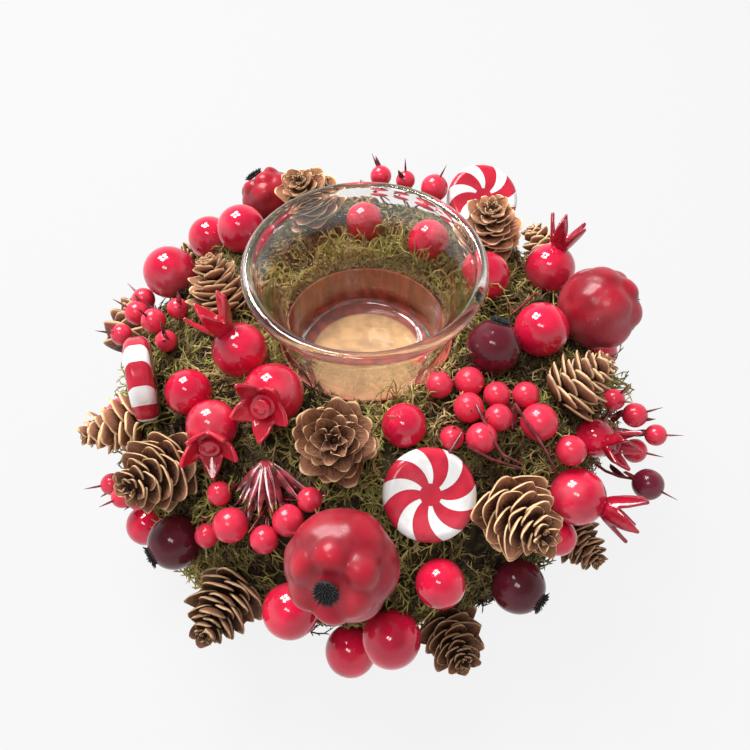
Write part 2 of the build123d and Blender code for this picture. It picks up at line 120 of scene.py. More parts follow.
# Loose stems over the right-hand sprays, and strap leaves hung from one knot: ring, climb and lift in mm
LOOSE_STEMS = {
    "spray_right": (
        ((321, 79, 12), (319, 69, 11), (319, 58, 9), (320, 46, 5)),
        ((312, 88, 11), (308, 77, 12), (308, 69, 10), (313, 60, 6)),
        ((302, 83, 10), (296, 79, 10), (291, 75, 7)),
        ((301, 78, 10), (305, 70, 9), (312, 59, 6)),
        ((14, 73, 6), (9, 81, 6), (5, 89, 4)),
    ),
}
STRAP_KNOTS = {
    "spray_front_left": (
        (240, 75, 4),
        (
            (238, 60, 7), (240, 58, 8), (241, 56, 6), (243, 56, 9), (244, 55, 7), (246, 57, 10),
            (247, 56, 7), (249, 57, 9), (250, 60, 7), (252, 61, 9), (254, 64, 7), (256, 68, 6),
        ),
    ),
}

# Pine cone in mm, as in the CAD: bowl-shaped scales on a golden spiral
CONE_SCALES = 34
CONE_BUD = 6
CONE_SPIRAL = 137.508
CONE_CORE = (3.2, 1.4)
CONE_ROOTS = (2.0, 23.0)
SCALE_BOWLS = (19.0, 5.0)
SCALE_RIMS = (44.0, 72.0)
SCALE_HEEL = 0.84

# Knobs round the end of a large fruit, and how far they and the fainter ones reach in radians
FRUIT_KNOBS = 6
KNOB_REACH = 0.37
FAINT_REACH = 0.62

# Pomegranate crown in mm, as in the CAD; its tube is a share of its height
CROWN_POINTS = 5
CROWN_NECK = 2.7
CROWN_TUBE = 1 / 3
CROWN_SINK = 1.2

# Glass cup in mm, as in the CAD, with its hollowed underside
CUP_SEAT = 46.0
CUP_HEIGHT = 47.0
CUP_FOOT = 23.5
CUP_NECK = 29.5
CUP_NECK_HEIGHT = 33.0
CUP_RIM = 36.0
CUP_LIP = 1.9
CUP_WALL = 2.6
CUP_FLOOR = 5.5
CUP_FLOOR_RADIUS = 21.5
CUP_HOLLOW = 1.2
CUP_CLEAR = 0.15

# Pale middle of the paper lining's floor: radius in mm
SEAT_RADIUS = 19.5

# Dry calyxes: bristles on each, radii in metres, and seats as shares of the fruit's radius
CALYX_BRISTLES = 70
DARK_CALYX = 0.0034
DARK_SEAT = 0.93
FRUIT_CALYX = 0.0036
FRUIT_SEAT = 0.83

# Thin forms in metres, and the distances at which points are one
CROWN_WALL = 0.0012
TWIG_RADIUS = 0.00055
BRACT_WIDTH = 0.0023
BRACT_WALL = 0.00022
BRACT_LENGTHS = (0.007, 0.011)
WELD = 1e-6
CROWN_WELD = 2e-5

# Scar of the flower in a crown, in metres: depth, rise over the fruit, inset and depth of each step
SCAR_DEPTH = 0.003
SCAR_RISE = 0.0009
SCAR_STEPS = ((0.0007, -0.0009), (0.0006, 0.0), (0.0006, 0.0007))

# Steps round a turned section
MOSS_TURNS = 220
CUP_TURNS = 128

# Patches of colour in lacquer, to the metre, and ray depth past which glass lets light straight through
LACQUER_PATCHES = 110.0
GLASS_DEPTH = 4.5

# Moss: tints that a clump can have, steps along a sprig, and its and a leaf's thickness along them
MOSS_TINTS = (0.06, 0.14, 0.24, 0.34, 0.44, 0.56, 0.7, 0.9)
SPRIG_STEPS = 6
SPRIG_TAPER = (0.6, 1, 1, 1, 0.9, 0.7, 0.15)
LEAF_TAPER = (0.8, 0.8, 0.1)

# Thickness of a twig and of a loose stem at each step along it
TWIG_TAPER = (1.2, 1.1, 1, 0.95, 0.9, 0.85, 0.7, 0.1)
LOOSE_TAPER = (0.9, 0.9, 0.9, 0.6)

# Stage: half side of the floor in metres, how bright floor and walls look, and how much of the floor's
# look is its own glow
FLOOR_SIZE = 3
FLOOR_GLOW = 0.915
FLOOR_SHARE = 0.945
WALL_WHITE = 0.93

# Lamps: azimuth and elevation of each in degrees, then lengths in metres and the point they shine on
WINDOW_AIM = (128, 58)
SKYLIGHT_AIM = (240, 68)
FILL_AIM = (285, 48)
PANE_DISTANCE = 0.95
FILL_DISTANCE = 1.1
FILL_SIZE = 0.8
LAMP_TARGET = Vector((0, 0, 0.05))

# Camera: sensor and lens in mm, for a field of view of 53 degrees
SENSOR = 36
LENS = 36


def hue(name, description, default):
    return FloatVectorProperty(name=name, description=description, default=default, subtype="COLOR")


def number(name, description, default, unit="NONE"):
    return FloatProperty(name=name, description=description, default=default, unit=unit)


def fraction(name, description, default):
    return FloatProperty(name=name, description=description, default=default, min=0, max=1, subtype="FACTOR")


def count(name, description, default, least=0):
    return IntProperty(name=name, description=description, default=default, min=least)


class MossSettings(bpy.types.PropertyGroup):
    """Moss blanket and its loose strands"""

    sprigs: count("Sprigs", "Sprigs in each clump", 19)
    clumps: count("Clumps", "Clumps in each patch of moss", 72)
    patches: count("Patches", "Patches that the clumps are kept in", 6, 1)
    spread: number("Spread", "Usual half width of a clump", 0.0046, "LENGTH")
    length: number("Length", "Usual length of a sprig", 0.010, "LENGTH")
    thickness: number("Thickness", "Radius of a strand", 0.00024, "LENGTH")
    dry: count("Dry strands", "Long dry strands in each patch", 16)
    loft: number("Loft", "How far sprigs stand off the bed", 0.0040, "LENGTH")
    rough: number("Roughness", "Height of the bed's lumps", 0.0020, "LENGTH")
    shaded_bed: hue("Bed", "Shaded bed", (0.022, 0.014, 0.007))
    brown: hue("Brown", "Old sprigs", (0.150, 0.090, 0.045))
    olive: hue("Olive", "Commonest sprigs", (0.225, 0.188, 0.062))
    green: hue("Green", "Fresh sprigs", (0.390, 0.355, 0.088))
    straw: hue("Straw", "Dry sprigs", (0.560, 0.405, 0.180))


class ConeSettings(bpy.types.PropertyGroup):
    """Pine cones"""

    thickness: number("Scale", "Thickness of a scale", 0.0009, "LENGTH")
    jitter: fraction("Unevenness", "How far scales stray from the spiral", 0.15)
    # Bark is partly the dark inner colour of a scale and partly painted shade at the roots
    bark: hue("Bark", "Inner part of a scale", (0.040, 0.015, 0.009))
    face: hue("Face", "Outer part of a scale", (0.330, 0.150, 0.085))
    edge: hue("Edge", "Dry edge of a scale", (0.680, 0.450, 0.250))


class BerrySettings(bpy.types.PropertyGroup):
    """Berries, fruits, pomegranates and their twigs"""

    wobble: fraction("Wobble", "How far berries stray from round", 0.012)
    red: hue("Red", "Red berries", (0.690, 0.010, 0.050))
    dark: hue("Dark", "Dark berries", (0.105, 0.010, 0.019))
    fruit: hue("Fruit", "Large fruits", (0.360, 0.012, 0.026))
    crown: hue("Crown", "Crowns of the pomegranates", (0.400, 0.006, 0.026))
    # Painted light: a lighter copy of the crown red for the crowns on the left, for the light that falls on
    # them
    crown_painted_light: hue("Light crown", "Crowns on the left", (0.600, 0.010, 0.034))
    twig: hue("Twig", "Twigs of the sprays", (0.200, 0.022, 0.030))
    calyx: hue("Calyx", "Dry calyxes", (0.007, 0.007, 0.008))


class HolderSettings(bpy.types.PropertyGroup):
    """Glass cup, paper lining, peppermints"""

    glass_index: number("Glass index", "Refractive index of the glass", 1.36)
    kraft: hue("Kraft", "Paper lining", (0.370, 0.062, 0.034))
    seat: hue("Seat", "Floor of the paper lining", (0.740, 0.415, 0.195))
    candy_red: hue("Peppermint red", "Red of the peppermints", (0.560, 0.020, 0.046))
    candy_white: hue("Peppermint white", "White of the peppermints", (0.860, 0.850, 0.840))


class StageSettings(bpy.types.PropertyGroup):
    """Camera and light"""

    height: number("Camera elevation", "Angle above the floor", math.radians(54), "ROTATION")
    distance: number("Distance", "Camera to target", 0.255, "LENGTH")
    target: FloatVectorProperty(
        name="Target", description="Point in the middle of the view", default=(0.00295, -0.00376, 0.04226),
        subtype="TRANSLATION", unit="LENGTH",
    )
    ambient: number("Ambient", "Light from all round", 0.40)
    ceiling: fraction("Ceiling", "How much darker the ceiling mirrors than the walls", 0.7)
    pane: number("Pane", "Side of a window pane", 0.19, "LENGTH")
    window: number("Window", "Power of a window pane", 3.0, "POWER")
    skylight: number("Skylight", "Power of a skylight pane", 0.8, "POWER")
    fill: number("Fill", "Power of the fill lamp", 0.75, "POWER")


def aim(azimuth, elevation):
    around = math.radians(azimuth)
    up = math.radians(elevation)
    return Vector((math.cos(up) * math.cos(around), math.cos(up) * math.sin(around), math.sin(up)))


def blend(start, end, share):
    return start + (end - start) * share


def smooth(share):
    share = min(max(share, 0), 1)
    return share * share * (3 - 2 * share)


def turn_to(direction):
    """Turn that stands a piece's z axis along a direction, with the roll that the CAD gives it."""
    x, y, z = direction
    if abs(y) <= abs(x) and abs(y) <= abs(z):
        side = Vector((-z, 0, x)) if abs(x) > abs(z) else Vector((z, 0, -x))
    elif abs(x) <= abs(y) and abs(x) <= abs(z):
        side = Vector((0, -z, y)) if abs(y) > abs(z) else Vector((0, z, -y))
    else:
        side = Vector((-y, x, 0)) if abs(x) > abs(y) else Vector((y, -x, 0))
    side.normalize()
    return Matrix((side, direction.cross(side), direction)).transposed().to_4x4()


def moss_point(ring, climb, lift=0.0):
    """Point over the moss in metres, and the way out of it; past 90 each unit is a mm inward."""
    angle = math.radians(min(climb, 90))
    inward = max(0, climb - 90)
    outward = aim(ring, 0)
    radius = MOUND_RADIUS + MOSS_REACH * math.cos(angle) - inward
    height = MOUND_CENTRE + MOSS_RISE * math.sin(angle)
    normal = outward * (math.cos(angle) / MOSS_REACH) + Vector((0, 0, math.sin(angle) / MOSS_RISE))
    normal.normalize()
    return (outward * radius + Vector((0, 0, height))) * MM + normal * lift, normal


def moss_level(point):
    """How far out of the mound a point lies: 1 on the moss."""
    radius = math.hypot(point.x, point.y) / MM
    return math.hypot(max(radius - MOUND_RADIUS, 0) / MOSS_REACH, (point.z / MM - MOUND_CENTRE) / MOSS_RISE)


def faces_of(verts):
    """Faces on these points, each once and in a fixed order."""
    return list(dict.fromkeys(face for vert in verts for face in vert.link_faces))


def lathe(points, steps, closed=False):
    """Section turned about the upright axis, merged at its seam and with its faces outward."""
    bm = bmesh.new()
    verts = [bm.verts.new(point) for point in points]
    ends = verts[1:] + verts[:1] if closed else verts[1:]
    edges = [bm.edges.new(pair) for pair in zip(verts, ends)]
    bmesh.ops.spin(
        bm, geom=verts + edges, cent=(0, 0, 0), axis=(0, 0, 1), dvec=(0, 0, 0), angle=math.tau, steps=steps,
        use_merge=True,
    )
    bmesh.ops.remove_doubles(bm, verts=bm.verts, dist=WELD)
    bmesh.ops.recalc_face_normals(bm, faces=bm.faces)
    return bm


def islands(name):
    """Points of each separate solid of a CAD node, from a merged copy of its mesh."""
    bm = bmesh.new()
    bm.from_mesh(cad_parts[name].data)
    bmesh.ops.remove_doubles(bm, verts=bm.verts, dist=WELD)
    found = []
    seen = set()
    for seed in bm.verts:
        if seed in seen:
            continue
        seen.add(seed)
        island = [seed]
        for vert in island:
            for edge in vert.link_edges:
                other = edge.other_vert(vert)
                if other not in seen:
                    seen.add(other)
                    island.append(other)
        found.append([vert.co.copy() for vert in island])
    bm.free()
    return found


def box_of(points):
    low = Vector([min(point[axis] for point in points) for axis in range(3)])
    high = Vector([max(point[axis] for point in points) for axis in range(3)])
    return low, high


def balls(name):
    """Centre and radius of each round solid of a CAD node."""
    found = []
    for points in islands(name):
        low, high = box_of(points)
        found.append(((low + high) / 2, max(high - low) / 2))
    return found


def fit_to(bm, verts, low, high):
    """Scales and moves these points so that their box lies on the given one."""
    own_low, own_high = box_of([vert.co for vert in verts])
    size = (high - low).length / (own_high - own_low).length
    bmesh.ops.scale(bm, verts=verts, vec=(size, size, size))
    bmesh.ops.translate(bm, verts=verts, vec=(low + high) / 2 - (own_low + own_high) / 2 * size)


def set_piece(mesh, name, body, materials, nodes=()):
    """Makes a piece of a mesh: it rides on the body and stands for the CAD nodes."""
    for material in materials:
        mesh.materials.append(material)
    obj = bpy.data.objects.new(name, mesh)
    bpy.context.scene.collection.objects.link(obj)
    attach(obj, body)
    if nodes:
        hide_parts(*nodes)
    return obj


def piece(bm, name, body, materials, nodes=()):
    """Makes a smooth piece of a bmesh."""
    mesh = bpy.data.meshes.new(name)
    for face in bm.faces:
        face.smooth = True
    bm.to_mesh(mesh)
    bm.free()
    return set_piece(mesh, name, body, materials, nodes)


def subdivide(obj, levels):
    modifier = obj.modifiers.new("Subdivision", "SUBSURF")
    modifier.levels = levels
    modifier.render_levels = levels


def repaint(name, material):
    """Gives a CAD node its material."""
    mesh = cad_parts[name].data
    mesh.materials.clear()
    mesh.materials.append(material)


def strands_mesh(name, paths, thickness, rounding=0):
    """Mesh of thin strands along these paths, each point with its share of the thickness."""
    curve = bpy.data.curves.new(name, "CURVE")
    curve.dimensions = "3D"
    curve.bevel_depth = thickness
    curve.bevel_resolution = rounding
    for points, taper in paths:
        spline = curve.splines.new("POLY")
        spline.points.add(len(points) - 1)
        for spot, point, share in zip(spline.points, points, taper):
            spot.co = (*point, 1)
            spot.radius = share
    obj = bpy.data.objects.new(name, curve)
    bpy.context.scene.collection.objects.link(obj)
    bpy.context.view_layer.update()
    mesh = bpy.data.meshes.new_from_object(obj.evaluated_get(bpy.context.evaluated_depsgraph_get()))
    bpy.data.objects.remove(obj)
    bpy.data.curves.remove(curve)
    return mesh


# Shader groups


def new_group(name, inputs, outputs):
    tree = bpy.data.node_groups.new(name, "ShaderNodeTree")
    for label, kind, value in inputs:
        socket = tree.interface.new_socket(label, in_out="INPUT", socket_type="NodeSocket" + kind)
        if value is not None:
            socket.default_value = value
    for label, kind in outputs:
        tree.interface.new_socket(label, in_out="OUTPUT", socket_type="NodeSocket" + kind)
    return tree, tree.nodes.new("NodeGroupInput").outputs, tree.nodes.new("NodeGroupOutput").inputs


def feed(tree, socket, value):
    """Links a socket to another one, or sets its value."""
    if isinstance(value, bpy.types.NodeSocket):
        tree.links.new(value, socket)
    else:
        socket.default_value = value


def node(tree, kind, links=None, **values):
    """Adds a node; links maps its input sockets to values or to other sockets."""
    made = tree.nodes.new("ShaderNode" + kind)
    for label, value in values.items():
        setattr(made, label, value)
    for socket, value in (links or {}).items():
        feed(tree, made.inputs[socket], value)
    return made


def math_of(tree, operation, *values, clamp=False):
    """Outcome of a Math node."""
    return node(tree, "Math", dict(enumerate(values)), operation=operation, use_clamp=clamp).outputs[0]


def ranged(tree, value, low=0.0, high=1.0, start=0.0, end=1.0, curve="LINEAR"):
    """Value brought from one range to another."""
    links = {"Value": value, "From Min": low, "From Max": high, "To Min": start, "To Max": end}
    return node(tree, "MapRange", links, interpolation_type=curve).outputs["Result"]


def cloud(tree, vector, scale, detail=2.0):
    return node(tree, "TexNoise", {"Vector": vector, "Scale": scale, "Detail": detail}).outputs["Fac"]


def attribute(tree, name):
    return node(tree, "Attribute", attribute_name=name).outputs["Fac"]


def mix_colour(tree, factor, first, second, mode="MIX"):
    links = {0: factor, 6: first, 7: second}
    return node(tree, "Mix", links, data_type="RGBA", blend_type=mode).outputs[2]


def mix_shaders(tree, output, share, first, second):
    """Puts a mix of two shaders on the named output."""
    mixed = node(tree, "MixShader", {0: share, 1: first.outputs[0], 2: second.outputs[0]})
    tree.links.new(mixed.outputs[0], tree.nodes[output].inputs["Surface"])


def mottle_group():
    """Two colours in soft patches, with the patch mask."""
    tree, given, result = new_group(
        "Mottle",
        [("Vector", "Vector", None), ("Scale", "Float", 120.0), ("Low", "Float", 0.4),
         ("High", "Float", 0.65), ("First", "Color", None), ("Second", "Color", None)],
        [("Color", "Color"), ("Mask", "Float")],
    )
    patches = cloud(tree, given["Vector"], given["Scale"], 4.0)
    mask = ranged(tree, patches, given["Low"], given["High"], curve="SMOOTHSTEP")
    tree.links.new(mask, result["Mask"])
    tree.links.new(mix_colour(tree, mask, given["First"], given["Second"]), result["Color"])


def grain_group():
    """Height of a fine uneven surface."""
    tree, given, result = new_group(
        "Grain",
        [("Vector", "Vector", None), ("Scale", "Float", 600.0), ("Coarse", "Float", 0.5)],
        [("Height", "Float")],
    )
    fine = cloud(tree, given["Vector"], given["Scale"], 5.0)
    lumps = cloud(tree, given["Vector"], math_of(tree, "MULTIPLY", given["Scale"], 0.22))
    weighted = math_of(tree, "MULTIPLY", lumps, given["Coarse"])
    tree.links.new(math_of(tree, "ADD", fine, weighted), result["Height"])


def specks_group():
    """Mask of small scattered specks of dust."""
    tree, given, result = new_group(
        "Specks",
        [("Vector", "Vector", None), ("Scale", "Float", 500.0), ("Size", "Float", 0.12)],
        [("Mask", "Float")],
    )
    cells = node(tree, "TexVoronoi", {"Vector": given["Vector"], "Scale": given["Scale"]})
    spot = ranged(tree, cells.outputs["Distance"], given["Size"], 0.0, curve="SMOOTHSTEP")
    gate = ranged(tree, cloud(tree, given["Vector"], 160.0), 0.5, 0.7)
    tree.links.new(math_of(tree, "MULTIPLY", spot, gate), result["Mask"])


def effect(tree, group, values):
    """Places a shared group with its inputs set or linked, and returns its outputs."""
    return node(tree, "Group", values, node_tree=bpy.data.node_groups[group]).outputs


def mottle(tree, spot, scale, first, second, low=0.4, high=0.65):
    """Outputs Color and Mask of two colours in soft patches."""
    values = {"Vector": spot, "Scale": scale, "Low": low, "High": high, "First": first, "Second": second}
    return effect(tree, "Mottle", values)


def start_material(name, **values):
    """New material with its node tree, shader and Object coordinates."""
    material = bpy.data.materials.new(name)
    material.use_nodes = True
    tree = material.node_tree
    shader = tree.nodes["Principled BSDF"]
    for label, value in values.items():
        shader.inputs[label.replace("_", " ")].default_value = value
    return material, tree, shader, tree.nodes.new("ShaderNodeTexCoord").outputs["Object"]


def add_bump(tree, shader, height, strength, distance):
    bump = node(tree, "Bump", {"Height": height, "Strength": strength, "Distance": distance})
    tree.links.new(bump.outputs["Normal"], shader.inputs["Normal"])


def roughen(tree, shader, spot, scale, coarse, strength, distance):
    """Bump of a fine uneven surface."""
    grain = effect(tree, "Grain", {"Vector": spot, "Scale": scale, "Coarse": coarse})
    add_bump(tree, shader, grain["Height"], strength, distance)


def opaque(colour, gain=1.0):
    return (*(min(part * gain, 1) for part in colour), 1)


def mottled(name, scale, first, second, **values):
    """New material in patches of two colours, with its tree, shader and coordinates."""
    material, tree, shader, spot = start_material(name, **values)
    tree.links.new(mottle(tree, spot, scale, first, second)["Color"], shader.inputs["Base Color"])
    return material, tree, shader, spot


def lacquer(name, colour, sheen, gloss=0.1, coat=0.4, shine=0.45, uneven=0.12):
    """Shiny paint over a soft ball: colour in patches, with a painted sheen of pale patches that stand for
    reflection.
    """
    material, tree, shader, spot = start_material(
        name, Roughness=gloss, Coat_Weight=coat, Coat_Roughness=0.04, Specular_IOR_Level=shine
    )
    body = mottle(tree, spot, LACQUER_PATCHES, opaque(colour, 0.78), opaque(colour, 1.12))
    # Painted reflection: a pale sheen mixed into the colour in patches; sheen sets how strong it is
    painted_sheen = mottle(tree, spot, LACQUER_PATCHES * 0.6, (0, 0, 0, 1), (sheen, sheen, sheen, 1), 0.5, 0.8)
    pale = opaque([blend(part, 0.8, 0.3) for part in colour])
    tree.links.new(mix_colour(tree, painted_sheen["Color"], body["Color"], pale), shader.inputs["Base Color"])
    rough = ranged(tree, painted_sheen["Mask"], start=gloss * 0.8, end=gloss * 1.8)
    tree.links.new(rough, shader.inputs["Roughness"])
    roughen(tree, shader, spot, 420.0, 2.0, uneven, 0.0004)
    return material


def waxy(name, colour):
    """Dull waxy skin with bloom and specks of dust, and a painted highlight that makes its knobs brighter
    red.
    """
    material, tree, shader, spot = start_material(
        name, Roughness=0.34, Coat_Weight=0.03, Coat_Roughness=0.1, Specular_IOR_Level=0.3
    )
    body = mottle(tree, spot, 70.0, opaque(colour, 0.7), opaque(colour, 1.1))
    # Painted highlight: the raised knobs are painted a brighter red, as if catching the light
    knob_highlight_mask = ranged(tree, attribute(tree, "bulge"), 0.3, 1.05)
    knob_highlight_red = opaque((colour[0] * 1.35, colour[1], colour[2] * 1.1))
    knob_highlighted = mix_colour(tree, knob_highlight_mask, body["Color"], knob_highlight_red)
    bloom = mottle(tree, spot, 55.0, (0, 0, 0, 1), (0.5, 0.5, 0.5, 1), 0.42, 0.75)
    pale = opaque([blend(part, 0.45, 0.3) for part in colour])
    veiled = mix_colour(tree, bloom["Color"], knob_highlighted, pale)
    dust = effect(tree, "Specks", {"Vector": spot, "Scale": 420.0})
    dusty = mix_colour(tree, dust["Mask"], veiled, (0.75, 0.5, 0.5, 1))
    tree.links.new(dusty, shader.inputs["Base Color"])
    tree.links.new(ranged(tree, bloom["Mask"], start=0.28, end=0.46), shader.inputs["Roughness"])
    roughen(tree, shader, spot, 300.0, 2.0, 0.2, 0.0006)
    return material


def bark(name, settings, gain):
    """Cone scales: dark at the root, partly their own colour and partly painted shade where they crowd,
    streaked and paler outward, dry along the rim; gain paints the whole cone lighter or darker for the light
    on it.
    """
    material, tree, shader, _ = start_material(name, Roughness=0.6, Specular_IOR_Level=0.15)
    reach = attribute(tree, "reach")
    rim = ranged(tree, attribute(tree, "rim"), 0.45, 0.95)
    lengthwise = node(tree, "CombineXYZ", {"X": attribute(tree, "side"), "Y": reach}).outputs["Vector"]
    uneven = math_of(tree, "MULTIPLY_ADD", cloud(tree, lengthwise, 3.4, 6.0), 2.2, -1.1)
    # Painted shade: towards the root each scale turns to the bark colour, partly its own colour and partly
    # the shade where the scales crowd
    share = math_of(tree, "ADD", ranged(tree, reach, 0.35, 0.9), uneven, clamp=True)
    face = mix_colour(tree, share, opaque(settings.bark, gain), opaque(settings.face, gain))
    ragged = math_of(tree, "MULTIPLY_ADD", uneven, 0.7, rim, clamp=True)
    worn = math_of(tree, "MULTIPLY", ragged, rim)
    tree.links.new(mix_colour(tree, worn, face, opaque(settings.edge, gain)), shader.inputs["Base Color"])
    roughen(tree, shader, lengthwise, 5.0, 1.0, 0.5, 0.0005)
    return material


def moss_fibre(name, settings):
    """Dry moss: each sprig has its own tint, and patches drift from green to straw."""
    material, tree, shader, spot = start_material(name, Roughness=0.75, Specular_IOR_Level=0.25)
    drift = math_of(tree, "MULTIPLY_ADD", cloud(tree, spot, 45.0), 0.7, -0.35)
    ramp = node(tree, "ValToRGB", {"Fac": math_of(tree, "ADD", attribute(tree, "tint"), drift, clamp=True)})
    # The lowest tint is the bed's painted shade colour
    stops = (
        (0.0, settings.shaded_bed), (0.22, settings.brown), (0.45, settings.olive), (0.72, settings.green),
        (1.0, settings.straw),
    )
    for index, (position, colour) in enumerate(stops):
        stop = ramp.color_ramp.elements[index] if index < 2 else ramp.color_ramp.elements.new(position)
        stop.position = position
        stop.color = opaque(colour)
    flecks = mottle(tree, spot, 500.0, (0.7, 0.7, 0.7, 1), (1.2, 1.2, 1.2, 1), 0.35, 0.7)
    shade = mix_colour(tree, 1.0, ramp.outputs["Color"], flecks["Color"], "MULTIPLY")
    tree.links.new(shade, shader.inputs["Base Color"])
    return material


def paper(name, colour, fibres, floor=None):
    """Brown paper or board with fibres; a lining's floor has its own colour."""
    material, tree, shader, spot = start_material(name, Roughness=0.6, Specular_IOR_Level=0.35)
    along = node(tree, "Mapping", {"Vector": spot, "Scale": (1, 1, 0.25)}).outputs["Vector"]
    fibre = mottle(tree, along, fibres, opaque(colour, 0.6), opaque(colour, 1.25), 0.35, 0.7)["Color"]
    if floor:
        level, bright, shades = floor
        base = mottle(tree, spot, fibres * 0.7, opaque(shades, 0.7), opaque(shades, 1.15), 0.3, 0.7)["Color"]
        axes = node(tree, "SeparateXYZ", {"Vector": spot}).outputs
        wall = math_of(tree, "GREATER_THAN", axes["Z"], level)
        flat = node(tree, "CombineXYZ", {"X": axes["X"], "Y": axes["Y"]}).outputs["Vector"]
        away = node(tree, "VectorMath", {0: flat}, operation="LENGTH").outputs["Value"]
        edge = ranged(tree, away, bright - 0.001, bright)
        fibre = mix_colour(tree, math_of(tree, "MAXIMUM", wall, edge), base, fibre)
    tree.links.new(fibre, shader.inputs["Base Color"])
    roughen(tree, shader, along, fibres * 2, 0.5, 0.3, 0.0004)
    return material


# Shapes


def add_ball(bm, centre, radius, wobble, seed, levels=5):
    """Slightly uneven ball; returns its points."""
    verts = bmesh.ops.create_icosphere(bm, subdivisions=levels, radius=radius)["verts"]
    offset = Vector((seed * 3.7, seed * 1.3, seed * 2.1))
    for vert in verts:
        vert.co *= 1 + wobble * noise.noise(vert.co / radius * 1.4 + offset)
    bmesh.ops.translate(bm, verts=verts, vec=centre)
    return verts


def add_dimple(verts, centre, radius, axis, width, depth):
    """Presses a round dimple into a ball at its end along the axis."""
    for vert in verts:
        away = (vert.co - centre).normalized().angle(axis)
        if away < width:
            vert.co -= axis * radius * depth * (1 - smooth(away / width))


def add_calyx(bm, seat, axis, radius, seed):
    """Dry tuft: a low button with short bristles all over it, leaning out towards its edge."""
    start = len(bm.verts)
    bmesh.ops.create_cone(
        bm, cap_ends=True, segments=16, radius1=radius * 0.9, radius2=radius * 0.7, depth=radius * 0.24,
        matrix=Matrix.Translation((0, 0, radius * 0.06)),
    )
    dice = random.Random(seed)
    for index in range(CALYX_BRISTLES):
        out = math.sqrt((index + 0.5) / CALYX_BRISTLES)
        lean = math.radians(68 * out + dice.uniform(-14, 14))
        length = radius * dice.uniform(0.3, 0.52)
        foot = Matrix.Translation((radius * 0.78 * out, 0, radius * 0.12))
        spot = Matrix.Rotation(index * 2.4, 4, "Z") @ foot
        bmesh.ops.create_cone(
            bm, cap_ends=True, segments=5, radius1=radius * 0.1, radius2=radius * 0.02, depth=length,
            matrix=spot @ Matrix.Rotation(lean, 4, "Y") @ Matrix.Translation((0, 0, length * 0.4)),
        )
    bm.verts.ensure_lookup_table()
    verts = bm.verts[start:]
    bmesh.ops.transform(bm, verts=verts, matrix=Matrix.Translation(seat) @ turn_to(axis))


def add_scale(bm, index, settings, dice):
    """One cone scale: a broad pointed fan on its bowl, thickened, with its measures for the colour."""
    layers = bm.verts.layers.float
    share = min((index + 0.5) / CONE_SCALES, 1)
    bud = max(index - CONE_SCALES + 1, 0) / CONE_BUD
    root = blend(*CONE_ROOTS, share) + bud
    bowl = blend(*SCALE_BOWLS, share) * blend(0.85, 0.4, bud) if bud else blend(*SCALE_BOWLS, share)
    rim = (blend(*SCALE_RIMS, share) + 14 * bud) * (1 + dice.uniform(-1, 1) * settings.jitter)
    heel = math.degrees(math.asin(SCALE_HEEL / bowl))
    half = bowl * math.sin(math.radians(rim - heel) / 2) * dice.uniform(1.08, 1.24)
    around = math.radians(index * CONE_SPIRAL + dice.uniform(-70, 70) * settings.jitter)
    curl = dice.uniform(-0.1, 0.9)
    ruffle = dice.uniform(-0.35, 0.35)
    made = bmesh.ops.create_grid(bm, x_segments=6, y_segments=5, size=1)["verts"]
    for vert in made:
        across = vert.co.x
        along = (vert.co.y + 1) / 2
        ragged = dice.uniform(0, 0.5) * settings.jitter * along * along
        reach = along * (1 - 0.14 * across * across * along - ragged)
        tilt = math.radians(blend(heel, rim, reach))
        fan = 0.3 + 0.7 * smooth(along / 0.6)
        closing = 1 - 0.62 * max((along - 0.58) / 0.42, 0) ** 2
        span = half * fan * closing * across
        spin = around + span / max(bowl * math.sin(tilt), half * 0.7)
        dish = 0.9 * across * across * along
        lip = curl * smooth((along - 0.6) / 0.4) + ruffle * across * along
        bend = bowl - dish + lip
        vert.co = Vector((
            bend * math.sin(tilt) * math.cos(spin),
            bend * math.sin(tilt) * math.sin(spin),
            root + bowl - bend * math.cos(tilt),
        )) * MM
        edge = max(smooth((along - 0.78) / 0.22), smooth((abs(across) - 0.6) / 0.4) * smooth(along / 0.45))
        vert[layers["rim"]] = edge
        vert[layers["reach"]] = along
        vert[layers["side"]] = 4 * across + 9 * index
    bmesh.ops.solidify(bm, geom=faces_of(made), thickness=settings.thickness)


def pine_cone(settings, seed):
    """A whole cone standing on its base, in mm scaled to metres."""
    bm = bmesh.new()
    for measure in ("rim", "reach", "side"):
        bm.verts.layers.float.new(measure)
    dice = random.Random(seed)
    base, tip = CONE_CORE
    rise = CONE_ROOTS[1]
    bmesh.ops.create_cone(
        bm, cap_ends=True, segments=14, radius1=base * MM, radius2=tip * MM, depth=rise * MM,
        matrix=Matrix.Translation((0, 0, rise / 2 * MM)),
    )
    for index in range(CONE_SCALES + CONE_BUD):
        add_scale(bm, index, settings, dice)
    return bm


def add_bract(bm, foot, along, front, length, width, dice):
    """Narrow pointed leaf with a fold along its middle, its face about to the front, thickened."""
    reach_layer = bm.verts.layers.float["reach"]
    made = bmesh.ops.create_grid(bm, x_segments=2, y_segments=6, size=1)["verts"]
    bend = dice.uniform(-0.18, 0.3)
    for vert in made:
        across = vert.co.x
        share = (vert.co.y + 1) / 2
        spread = width * math.sin(math.pi * (0.16 + 0.84 * share)) ** 0.8 / 2
        fold = 0.35 * abs(across) * spread
        vert.co = Vector((across * spread, bend * length * share * share + fold, share * length))
        vert[reach_layer] = share
    side = front.cross(along).normalized()
    turn = Matrix((side, along.cross(side), along)).transposed().to_4x4()
    roll = Matrix.Rotation(dice.uniform(-0.8, 0.8), 4, "Z")
    bmesh.ops.transform(bm, verts=made, matrix=Matrix.Translation(foot) @ turn @ roll)
    bmesh.ops.solidify(bm, geom=faces_of(made), thickness=BRACT_WALL)


